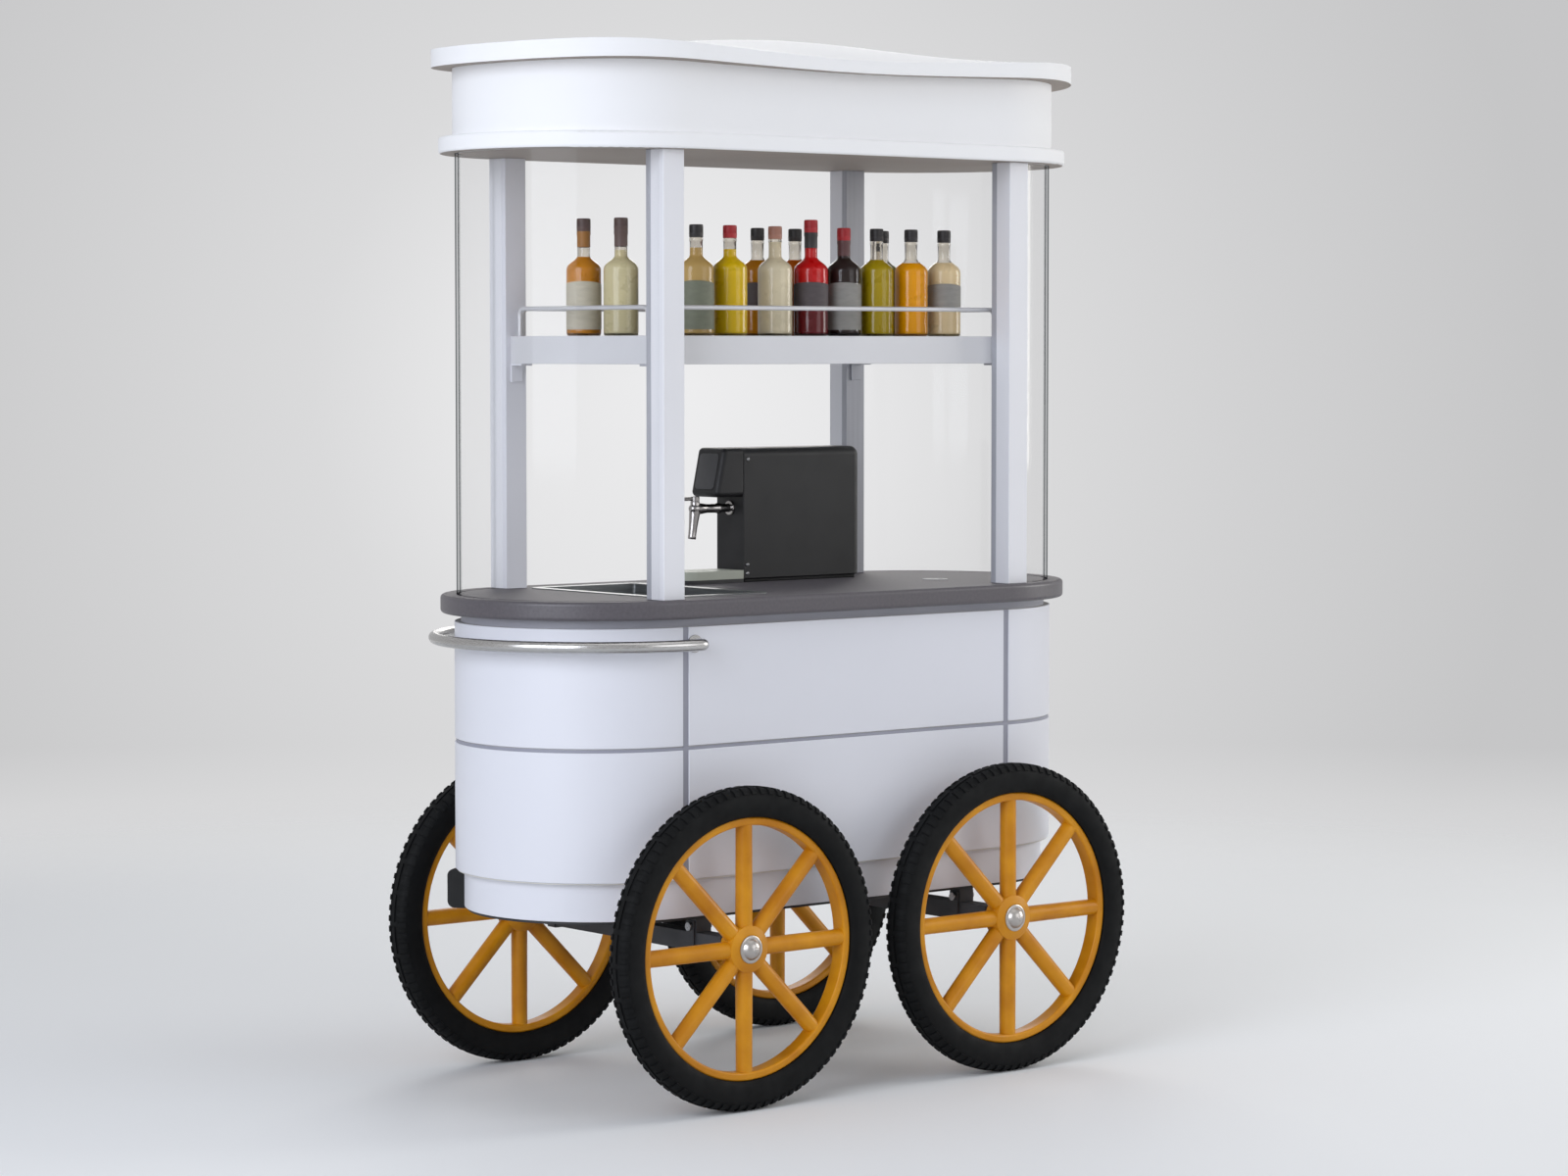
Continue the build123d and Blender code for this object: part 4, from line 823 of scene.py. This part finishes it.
# %% Bottle shapes
SHELF_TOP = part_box("bottle_shelf")[1].z / MM
SHELF_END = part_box("bottle_shelf")[1].x / MM
BOTTLE_R, NECK_R = 38.0, 14.0
SHOULDER_LOW, SHOULDER_HIGH = 138.0, 174.0
SHOULDER_STEPS = 12
SHOULDER_FULLNESS = 1.7
GLASS_WALL = 2.2
DRINK_OVERLAP = 0.3
CAP_HEIGHT = 28.0
FOOT = [(0, 6.0), (14.0, 4.6), (25.0, 1.6), (31.0, 0.3), (34.0, 0.2), (36.6, 1.4), (37.8, 4.6), (BOTTLE_R, 9.0)]
INNER_FOOT = [(35.8, 12.0), (33.0, 6.5), (25.0, 5.4), (14.0, 8.2), (0, 9.6)]
LIP_RING = [(NECK_R, -9.0), (14.9, -7.0), (14.9, -2.0), (NECK_R, -0.3), (11.4, -0.3)]


def side_radius(z):
    """Radius of the bottle's outside at a height above its foot."""
    share = min(max((z - SHOULDER_LOW) / (SHOULDER_HIGH - SHOULDER_LOW), 0), 1)
    return NECK_R + (BOTTLE_R - NECK_R) * (1 + math.cos(math.pi * share ** SHOULDER_FULLNESS)) / 2


rise = (SHOULDER_HIGH - SHOULDER_LOW) / SHOULDER_STEPS
SHOULDER = [(side_radius(z), z) for z in (SHOULDER_LOW + step * rise for step in range(SHOULDER_STEPS + 1))]


def shell_outline(height):
    """Outside from the hollow foot to the lip, then inside back down."""
    lip = height - CAP_HEIGHT
    ring = [(radius, lip + z) for radius, z in LIP_RING]
    inner = [(radius - GLASS_WALL, z) for radius, z in reversed(SHOULDER)]
    return FOOT + SHOULDER + ring + inner + INNER_FOOT


def drink_outline(fill):
    """Drink up to its level, a hair into the shell."""
    inset = GLASS_WALL - DRINK_OVERLAP
    base = [(radius + (DRINK_OVERLAP if radius else 0), z - DRINK_OVERLAP) for radius, z in reversed(INNER_FOOT)]
    sides = [(radius - inset, z) for radius, z in SHOULDER if z < fill]
    return base + sides + [(side_radius(fill) - inset, fill), (0, fill)]


print("shelf top at", round(SHELF_TOP, 1), "mm, shoulder points", len(SHOULDER))

# %% [markdown]
# The drinks give the shelf its colours. They are cloudy rather than clear, so most of their light comes back from the
# surface and only a little passes through. Paper and caps take the shared recipe. The glass is duller from the shoulder
# up, where it is thick and empty, and the red drink turns darker towards its bottom.

# %% Bottle finishes
DRINK_COLOURS = {
    "pale_tan": (236, 214, 172), "warm_tan": (200, 168, 104), "orange": (248, 170, 0), "olive": (182, 157, 8),
    "dark": (58, 46, 44), "red": (208, 14, 18), "cream": (222, 211, 184), "yellow": (234, 198, 6),
    "amber": (196, 128, 20), "beige": (204, 194, 156), "brown": (196, 98, 10), "green": (96, 96, 24),
}
DRINK_LIFT, DRINK_IOR, DRINK_SHINE = 1.12, 1.36, 0.15
CLEARNESS, CLOUDIER = 0.12, {"cream": 0.05, "beige": 0.1}
PAPER_COLOURS = {"grey": (146, 144, 139), "slate": (82, 74, 76), "white": (194, 187, 168), "sage": (122, 126, 108)}
FIBRE_SHADE = 0.86
CAP_COLOURS = {
    "black": (36, 33, 34), "red": (168, 32, 38), "brown": (84, 64, 60), "rose": (166, 116, 98), "tan": (148, 98, 40),
    "wine": (86, 52, 52),
}
CAP_DRIFT = 12
NECK_FROM = 18.0
RED_DARKER_HIGH, RED_DARKER_LOW = 66.0, 58.0


def drink(kind, rgb):
    """Coloured drink with a soft depth."""
    colour = linear(*rgb)
    lighter = tuple(min(c * DRINK_LIFT, 1) for c in colour[:3]) + (1,)
    material = finish(f"drink_{kind}", colour, lighter, (0.25, 0.35), 14, 200, 0.00001, shine=DRINK_SHINE)
    shader = inside(material)[2]
    shader.inputs["Transmission Weight"].default_value = CLOUDIER.get(kind, CLEARNESS)
    shader.inputs["IOR"].default_value = DRINK_IOR
    return material


def paper(kind, rgb):
    """Label paper with fibres, bare of words."""
    colour = linear(*rgb)
    darker = tuple(c * FIBRE_SHADE for c in colour[:3]) + (1,)
    return finish(f"paper_{kind}", colour, darker, (0.55, 0.7), 40, 600, 0.00004, (1, 1, 3))


def cap_finish(kind, rgb):
    """Moulded or foiled cap, a little lighter in places."""
    lighter = linear(*(c + CAP_DRIFT for c in rgb))
    return finish(f"cap_{kind}", linear(*rgb), lighter, (0.38, 0.52), 30, 700, 0.00005)


NECK_Z = [(SHELF_TOP + height) * MM for height in (SHOULDER_LOW + NECK_FROM, SHOULDER_HIGH)]
bottle_glass = clear_glass(
    "bottle_glass", (0.80, 0.80, 0.76, 1), 60, (0.92, 0.92, 0.90, 1), (0.88, 0.845, 0.79, 1), NECK_Z
)
dark_glass = clear_glass("dark_glass", (0.30, 0.16, 0.10, 1), 260, (1, 1, 1, 1), (0.70, 0.60, 0.55, 1), NECK_Z)
DRINKS = {kind: drink(kind, rgb) for kind, rgb in DRINK_COLOURS.items()}
PAPERS = {kind: paper(kind, rgb) for kind, rgb in PAPER_COLOURS.items()}
CAPS = {kind: cap_finish(kind, rgb) for kind, rgb in CAP_COLOURS.items()}
RED_DARKER_BELOW = [-(SHELF_TOP + height) * MM for height in (RED_DARKER_HIGH, RED_DARKER_LOW)]
# The red drink is darker towards its bottom.
second_tint(DRINKS["red"], linear(112, 20, 28), (0, 0, -1), *RED_DARKER_BELOW)
print(len(DRINKS), "drinks,", len(PAPERS), "papers,", len(CAPS), "cap finishes")

# %% [markdown]
# The bottle plan follows the shelf: a front row along the guests' edge, three bottles behind it, and a tall pair near
# the handle end. Each line gives the drink and its level, the cap, the label with its lower and upper edge, and the
# finish of a foil sleeve where the bottle has one.

# %% Bottle plan
TALL, SHORT = 256.0, 240.0
ROW_PITCH = 102.7
ROW_STEPS = (0.03, 1.0, 2.0, 2.94, 3.87, 4.87, 6.11, 7.02)
ROW_START = SHELF_END - 84.0
FRONT_ROW_Y, BACK_ROW_Y = -140.0, -20.0
BAND, SHEET = (62.0, 112.0), (14.0, 112.0)
FRONT_ROW = [
    (SHORT, "pale_tan", 166, "black", ("grey", BAND), None),
    (SHORT, "orange", 164, "black", None, None),
    (SHORT, "olive", 170, "black", None, None),
    (SHORT, "dark", 196, "red", ("grey", SHEET), "wine"),
    (TALL, "red", 204, "red", ("slate", BAND), "black"),
    (SHORT, "cream", 206, "rose", None, None),
    (SHORT, "yellow", 188, "red", None, None),
    (SHORT, "warm_tan", 190, "black", ("sage", SHEET), None),
]
BACK_ROW = [
    (0.82, "green", 168, "black", None),
    (3.34, "brown", 170, "black", None),
    (4.4, "amber", 168, "black", ("slate", BAND)),
]
END_PAIR = [
    (88.0 - SHELF_END, 100.0, "amber", 172, "brown", ("white", SHEET), "tan"),
    (114.0 - SHELF_END, 0.0, "beige", 186, "brown", None, "brown"),
]

plan = []
for step, row in zip(ROW_STEPS, FRONT_ROW):
    plan.append((ROW_START - step * ROW_PITCH, FRONT_ROW_Y, *row))
for step, *row in BACK_ROW:
    plan.append((ROW_START - step * ROW_PITCH, BACK_ROW_Y, SHORT, *row, None))
for x, y, *row in END_PAIR:
    plan.append((x, y, TALL, *row))
print(len(plan), "bottles")

# %% [markdown]
# A cap has fine flutes for the fingers: it is turned, and every second strip of its side is pressed in a little. A foil
# is a thin turned sleeve. Each is made once here and copied for the bottles that have it.

# %% Caps and foils
BOTTLE_CAP_OUTLINE = [
    (0, 28.0), (12.6, 28.0), (14.2, 27.5), (14.9, 26.2), (15.2, 24.0), (15.2, 10.4), (15.5, 9.6), (15.5, 7.8),
    (15.2, 7.0), (15.2, 1.0), (14.9, 0.2), (0, 0.2),
]
FOIL_OUTLINE = [
    (14.2, -34.0), (14.5, -34.0), (14.5, -9.5), (15.3, -7.4), (15.3, 0.0), (15.05, 0.0), (15.05, -7.2), (14.2, -9.3),
    (14.2, -34.0),
]
FLUTES = 48
FLUTE_DEPTH = 0.35
FLUTE_LOW, FLUTE_HIGH = 11.0, 23.5
FACING = 0.9

first_cap = lathe("cap_first", BOTTLE_CAP_OUTLINE, 2 * FLUTES)
to_edit(first_cap)


def is_flute(centre, normal):
    """Every second strip of the cap's side, above its ring."""
    side = FLUTE_LOW < centre.z / MM < FLUTE_HIGH and math.hypot(normal.x, normal.y) > FACING
    return side and step_round(centre.x, centre.y, 2 * FLUTES) % 2 == 0


pick_faces(first_cap, is_flute)
bpy.ops.mesh.extrude_region_shrink_fatten(TRANSFORM_OT_shrink_fatten={"value": -FLUTE_DEPTH * MM})
bpy.ops.object.mode_set(mode="OBJECT")
smooth(first_cap)
first_foil = lathe("foil_first", FOIL_OUTLINE)
smooth(first_foil)
print("cap faces", len(first_cap.data.polygons), "foil faces", len(first_foil.data.polygons))

# %% [markdown]
# A label is paper that is bent round the bottle, bare of words. A line is spun part of the way round and given its
# thickness, and its upper edge rises to an arch in front. A picture on the glass would be quicker, but it would have no
# edge that catches the light.

# %% Labels
LABEL_GAP, LABEL_THICK = 0.25, 0.3
LABEL_TURN, LABEL_SWEEP = math.radians(230), math.radians(250)
LABEL_STEPS = 40
LABEL_ARCH = 7.0


def label_band(name, low, high):
    """Strip of paper bent round the bottle between two heights."""
    radius = (BOTTLE_R + LABEL_GAP) * MM
    obj = single_point(name)
    start = LABEL_TURN + LABEL_SWEEP / 2
    bpy.ops.transform.translate(value=(radius * math.cos(start), radius * math.sin(start), low * MM))
    bpy.ops.mesh.extrude_region_move(TRANSFORM_OT_translate={"value": (0, 0, (high - low) * MM)})
    bpy.ops.mesh.select_all(action="SELECT")
    bpy.ops.mesh.spin(steps=LABEL_STEPS, angle=LABEL_SWEEP, center=(0, 0, 0), axis=(0, 0, 1))
    bpy.ops.mesh.select_all(action="SELECT")
    bpy.ops.mesh.normals_make_consistent(inside=False)
    bpy.ops.object.mode_set(mode="OBJECT")
    facing = Vector((math.cos(LABEL_TURN), math.sin(LABEL_TURN), 0))
    for corner in obj.data.vertices:
        if corner.co.z > (low + high) / 2 * MM:
            corner.co.z += LABEL_ARCH * MM * max(0, facing.dot(corner.co) / radius)
    outer = obj.data.polygons[0]
    if outer.normal.dot(outer.center) < 0:
        obj.data.flip_normals()
    thick = obj.modifiers.new("paper", "SOLIDIFY")
    thick.thickness = LABEL_THICK * MM
    thick.offset = 1.0
    bpy.ops.object.modifier_apply(modifier="paper")
    smooth(obj)
    return obj


first_labels = {edges: label_band(f"label_first_{int(edges[0])}", *edges) for edges in (BAND, SHEET)}
print("label heights", [high - low for low, high in first_labels])

# %% [markdown]
# Now each bottle is put together on the shelf: a copy of the shell, a drink turned to its own level, a cap, and a label
# or a foil where the plan has one. The glass throws no shadow of its own, because light that bends in it would need far
# more samples to come through, and the drink inside throws one anyway.

# %% Make the bottles
shells = {height: lathe(f"shell_{int(height)}", shell_outline(height)) for height in (SHORT, TALL)}
for shell in shells.values():
    smooth(shell)
for number, (x, y, height, kind, fill, cap, label, foil) in enumerate(plan, 1):
    stand = Matrix.Translation((x * MM, y * MM, SHELF_TOP * MM))
    lip = Matrix.Translation((0, 0, (height - CAP_HEIGHT) * MM)) @ stand
    glass = copy_of(shells[height], f"bottle_{number:02d}", stand)
    glass.visible_shadow = False
    settle(glass, "cart", "bottle_glass", dark_glass if kind == "dark" else bottle_glass, "bottles")
    content = lathe(f"drink_{number:02d}", drink_outline(fill))
    content.data.transform(stand)
    smooth(content)
    settle(content, "cart", "bottle_glass", DRINKS[kind], "bottles")
    settle(copy_of(first_cap, f"cap_{number:02d}", lip), "cart", "cap_plastic", CAPS[cap], "bottle_caps")
    if label:
        sheet, edges = label
        band = copy_of(first_labels[edges], f"label_{number:02d}", stand)
        settle(band, "cart", "bottle_glass", PAPERS[sheet], "bottles")
    if foil:
        settle(copy_of(first_foil, f"foil_{number:02d}", lip), "cart", "cap_plastic", CAPS[foil], "bottle_caps")
for spare in (*shells.values(), *first_labels.values(), first_cap, first_foil):
    bpy.data.objects.remove(spare)
print("bottles made")

# %% [markdown]
# The dispenser's head has a lighter cover plate on its leaning face. A plane of the plate's size gets its corners
# rounded by a vertex bevel, is extruded to its thickness, and its rim is bevelled. It is made lying flat and then
# turned into place in its mesh, so that the object itself stays at the origin.

# %% Cover plate of the dispenser
HEAD_FOOT, HEAD_CROWN = Vector((-40.0, 161.0, 1277.0)), Vector((-16.0, 161.0, 1388.0))
PLATE_W, PLATE_H, PLATE_T = 68.0, 82.0, 1.2
PLATE_CORNER, PLATE_CORNER_STEPS = 9.0, 6
PLATE_RIM, PLATE_RIM_STEPS = 0.5, 2
PLATE_UP = 59.4

bpy.ops.object.select_all(action="DESELECT")
bpy.ops.mesh.primitive_plane_add(size=1.0, location=(0, 0, 0))
plate = bpy.context.object
plate.name = "head_plate"
plate.data.name = "head_plate"
bpy.ops.object.mode_set(mode="EDIT")
bpy.ops.mesh.select_mode(type="VERT")
bpy.ops.mesh.select_all(action="SELECT")
bpy.ops.transform.resize(value=(PLATE_W * MM, PLATE_H * MM, 1))
bpy.ops.mesh.bevel(offset=PLATE_CORNER * MM, segments=PLATE_CORNER_STEPS, affect="VERTICES")
bpy.ops.mesh.select_all(action="SELECT")
bpy.ops.mesh.extrude_region_move(TRANSFORM_OT_translate={"value": (0, 0, PLATE_T * MM)})
pick_faces(plate, lambda centre, normal: normal.z > FACING and centre.z > PLATE_T * MM / 2)
bpy.ops.mesh.bevel(offset=PLATE_RIM * MM, segments=PLATE_RIM_STEPS, affect="EDGES")
bpy.ops.mesh.select_all(action="SELECT")
bpy.ops.mesh.normals_make_consistent(inside=False)
bpy.ops.object.mode_set(mode="OBJECT")
up = (HEAD_CROWN - HEAD_FOOT).normalized()
across = Vector((0, -1, 0))
out = across.cross(up)
seat = Matrix((across, up, out)).transposed().to_4x4()
plate.data.transform(Matrix.Translation((HEAD_FOOT + up * PLATE_UP) * MM) @ seat)
smooth(plate, angle=30)
settle(plate, "cart", "charcoal_plastic", plate_grey)
print("cover plate", len(plate.data.polygons), "faces")

# %% [markdown]
# Screws hold the dispenser's housing, the handle's flanges and the hinge leaf. One screw is turned, a six-sided socket
# is cut into its head with a boolean, and copies are set on the faces with their heads looking outwards.

# %% Screws
SCREW_OUTLINE = [(0, 2.3), (2.0, 2.25), (3.2, 1.8), (3.9, 1.0), (4.1, 0.0), (4.1, -0.6), (0, -0.6)]
SCREW_STEPS = 24
SOCKET_R, SOCKET_DEPTH, SOCKET_SIDES = 1.9, 1.4, 6


def peg(radius, length, sides, spot):
    """Cutter: an upright peg with its middle at a spot, in millimetres."""
    bpy.ops.object.select_all(action="DESELECT")
    place = [value * MM for value in spot]
    bpy.ops.mesh.primitive_cylinder_add(vertices=sides, radius=radius * MM, depth=length * MM, location=place)
    return bpy.context.object


def combine(obj, other, operation):
    """Cut another piece out of the object or melt it into the object, and then remove the other piece."""
    joint = obj.modifiers.new("joint", "BOOLEAN")
    joint.object = other
    joint.operation = operation
    joint.solver = "EXACT"
    bpy.context.view_layer.objects.active = obj
    bpy.ops.object.modifier_apply(modifier="joint")
    bpy.data.objects.remove(other)


first_screw = lathe("screw_first", SCREW_OUTLINE, SCREW_STEPS)
socket = peg(SOCKET_R, 2 * SOCKET_DEPTH, SOCKET_SIDES, (0, 0, SCREW_OUTLINE[0][1]))
combine(first_screw, socket, "DIFFERENCE")
smooth(first_screw, angle=30)

HOUSING_Y = (112.0, 210.0)
HOUSING_SCREWS = [(53.0, 1362.0), (51.0, 1103.0), (51.0, 1123.0)]
HANDLE_LEG_X, HANDLE_Z, FLANGE_FACE = -438.0, 989.0, 313.0
FLANGE_SCREW_R, FLANGE_SCREW_SIZE = 15.8, 0.6
LEAF_FACE, LEAF_INSET = 311.5, 45.0
LEAF_SCREWS, LEAF_SCREW_UP, LEAF_SCREW_SIZE = 8, 11.0, 0.8
leaf_low, leaf_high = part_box("flap_hinge_leaf")

screws = []
for side, face in zip((-1, 1), HOUSING_Y):
    screws += [((x, face, z), side, 1.0, "cart") for x, z in HOUSING_SCREWS]
    for x in (HANDLE_LEG_X - FLANGE_SCREW_R, HANDLE_LEG_X + FLANGE_SCREW_R):
        screws.append(((x, side * FLANGE_FACE, HANDLE_Z), side, FLANGE_SCREW_SIZE, "cart"))
leaf_start, leaf_stop = leaf_low.x / MM + LEAF_INSET, leaf_high.x / MM - LEAF_INSET
leaf_z = leaf_low.z / MM + LEAF_SCREW_UP
for number in range(LEAF_SCREWS):
    x = leaf_start + (leaf_stop - leaf_start) * number / (LEAF_SCREWS - 1)
    screws.append(((x, LEAF_FACE, leaf_z), 1, LEAF_SCREW_SIZE, "flap"))
for number, (spot, side, size, body) in enumerate(screws, 1):
    turn = Vector((0, side, 0)).to_track_quat("Z", "X").to_matrix().to_4x4()
    seat = Matrix.Translation(Vector(spot) * MM) @ turn @ Matrix.Scale(size, 4)
    settle(copy_of(first_screw, f"screw_{number:02d}", seat), body, "bearing_steel", bearing_steel)
bpy.data.objects.remove(first_screw)
print(len(screws), "screws")

# %% [markdown]
# The tap is turned in three: a barrel that swells to a round nose, a collar under the lever, and a tapered spout that
# leans a little outwards and is open at its tip. Boolean unions make one body of them.

# %% Tap
BARREL_OUTLINE = [
    (0, 40.0), (17.0, 40.0), (17.0, 37.0), (15.6, 35.4), (10.0, 34.6), (9.6, 33.0), (9.6, 10.0), (11.6, 8.0),
    (12.0, 4.0), (11.6, 0.0), (10.2, -3.0), (10.2, -26.0), (10.8, -34.0), (12.0, -42.0), (13.0, -50.0), (13.4, -58.0),
    (12.6, -66.0), (10.2, -72.0), (6.4, -75.6), (0, -77.0),
]
COLLAR_OUTLINE = [(0, 17.0), (9.4, 17.0), (10.4, 16.0), (10.4, 9.0), (11.6, 5.0), (11.6, 2.0), (0, 2.0)]
SPOUT_OUTLINE = [
    (0, -2.0), (12.4, -4.0), (12.2, -12.0), (11.0, -24.0), (9.6, -42.0), (9.0, -60.0), (9.2, -62.0), (9.2, -68.0),
    (8.6, -69.0), (5.0, -69.0), (4.6, -67.0), (4.6, -40.0), (0, -40.0),
]
SPOUT_LEAN = math.radians(8)
TAP_STEPS = 40
TAP_X, TAP_Y = -62.0, middle("tap_body").y / MM
TAP_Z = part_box("tap_body")[1].z / MM - COLLAR_OUTLINE[0][1]

tap = lathe("turned_tap", BARREL_OUTLINE, TAP_STEPS, "X")
collar = lathe("tap_collar", COLLAR_OUTLINE, TAP_STEPS)
collar.data.transform(Matrix.Translation((TAP_X * MM, 0, 0)))
spout = lathe("tap_spout", SPOUT_OUTLINE, TAP_STEPS)
spout.data.transform(Matrix.Translation((TAP_X * MM, 0, 0)) @ Matrix.Rotation(SPOUT_LEAN, 4, "Y"))
combine(tap, collar, "UNION")
combine(tap, spout, "UNION")
tap.data.transform(Matrix.Translation((0, TAP_Y * MM, TAP_Z * MM)))
smooth(tap, angle=32)
settle(tap, "cart", SLOT_OF["tap_body"], tap_chrome, "tap_body")
print("tap", len(tap.data.polygons), "faces, axis at", round(TAP_Z, 1), "mm")

# %% [markdown]
# A pale cover closes the cable hole in the counter. It is turned with a raised rim, and a cylinder cuts the notch that
# a cable comes out of and a finger lifts it by.

# %% Cover of the cable hole
COVER_OUTLINE = [
    (0, 1.3), (21.0, 1.3), (22.4, 1.9), (28.4, 1.9), (29.5, 1.3), (29.9, 0.2), (25.0, 0.2), (24.6, -6.0), (0, -6.0),
]
COVER_RISE = 2.0
NOTCH_R, NOTCH_X, NOTCH_DEPTH, NOTCH_SIDES = 6.0, 15.0, 2.5, 32

cover = lathe("grommet_cover", COVER_OUTLINE)
combine(cover, peg(NOTCH_R, 2 * NOTCH_DEPTH, NOTCH_SIDES, (NOTCH_X, 0, COVER_OUTLINE[0][1])), "DIFFERENCE")
hole, hole_top = middle("counter_grommet"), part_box("counter_grommet")[1].z
cover.data.transform(Matrix.Translation((hole.x, hole.y, hole_top - COVER_RISE * MM)))
smooth(cover, angle=30)
settle(cover, "cart", "grid_plastic", cover_grey, "counter_grommet")
print("cover", len(cover.data.polygons), "faces")

# %% [markdown]
# A strainer lies over the sink's waste. It is a shallow turned dish, with seven holes cut through it by one joined
# cutter.

# %% Sink strainer
STRAINER_OUTLINE = [(0, 0.9), (13.0, 0.9), (15.0, 1.5), (17.0, 1.5), (17.4, 1.0), (17.4, 0.0), (0, 0.0)]
HOLE_R, HOLE_RING_R, HOLE_COUNT, HOLE_SIDES = 2.2, 8.6, 6, 20
PIN_LENGTH = 10.0

strainer = lathe("sink_strainer", STRAINER_OUTLINE)
spots = [(0.0, 0.0)]
for number in range(HOLE_COUNT):
    angle = 2 * math.pi * number / HOLE_COUNT
    spots.append((HOLE_RING_R * math.cos(angle), HOLE_RING_R * math.sin(angle)))
pins = [peg(HOLE_R, PIN_LENGTH, HOLE_SIDES, (x, y, 0)) for x, y in spots]
bpy.ops.object.select_all(action="DESELECT")
for pin in pins:
    pin.select_set(True)
bpy.context.view_layer.objects.active = pins[0]
bpy.ops.object.join()
combine(strainer, bpy.context.object, "DIFFERENCE")
drain, drain_top = middle("sink_waste"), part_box("sink_waste")[1].z
strainer.data.transform(Matrix.Translation((drain.x, drain.y, drain_top)))
smooth(strainer, angle=30)
settle(strainer, "cart", "stainless", stainless)
print("strainer", len(strainer.data.polygons), "faces")
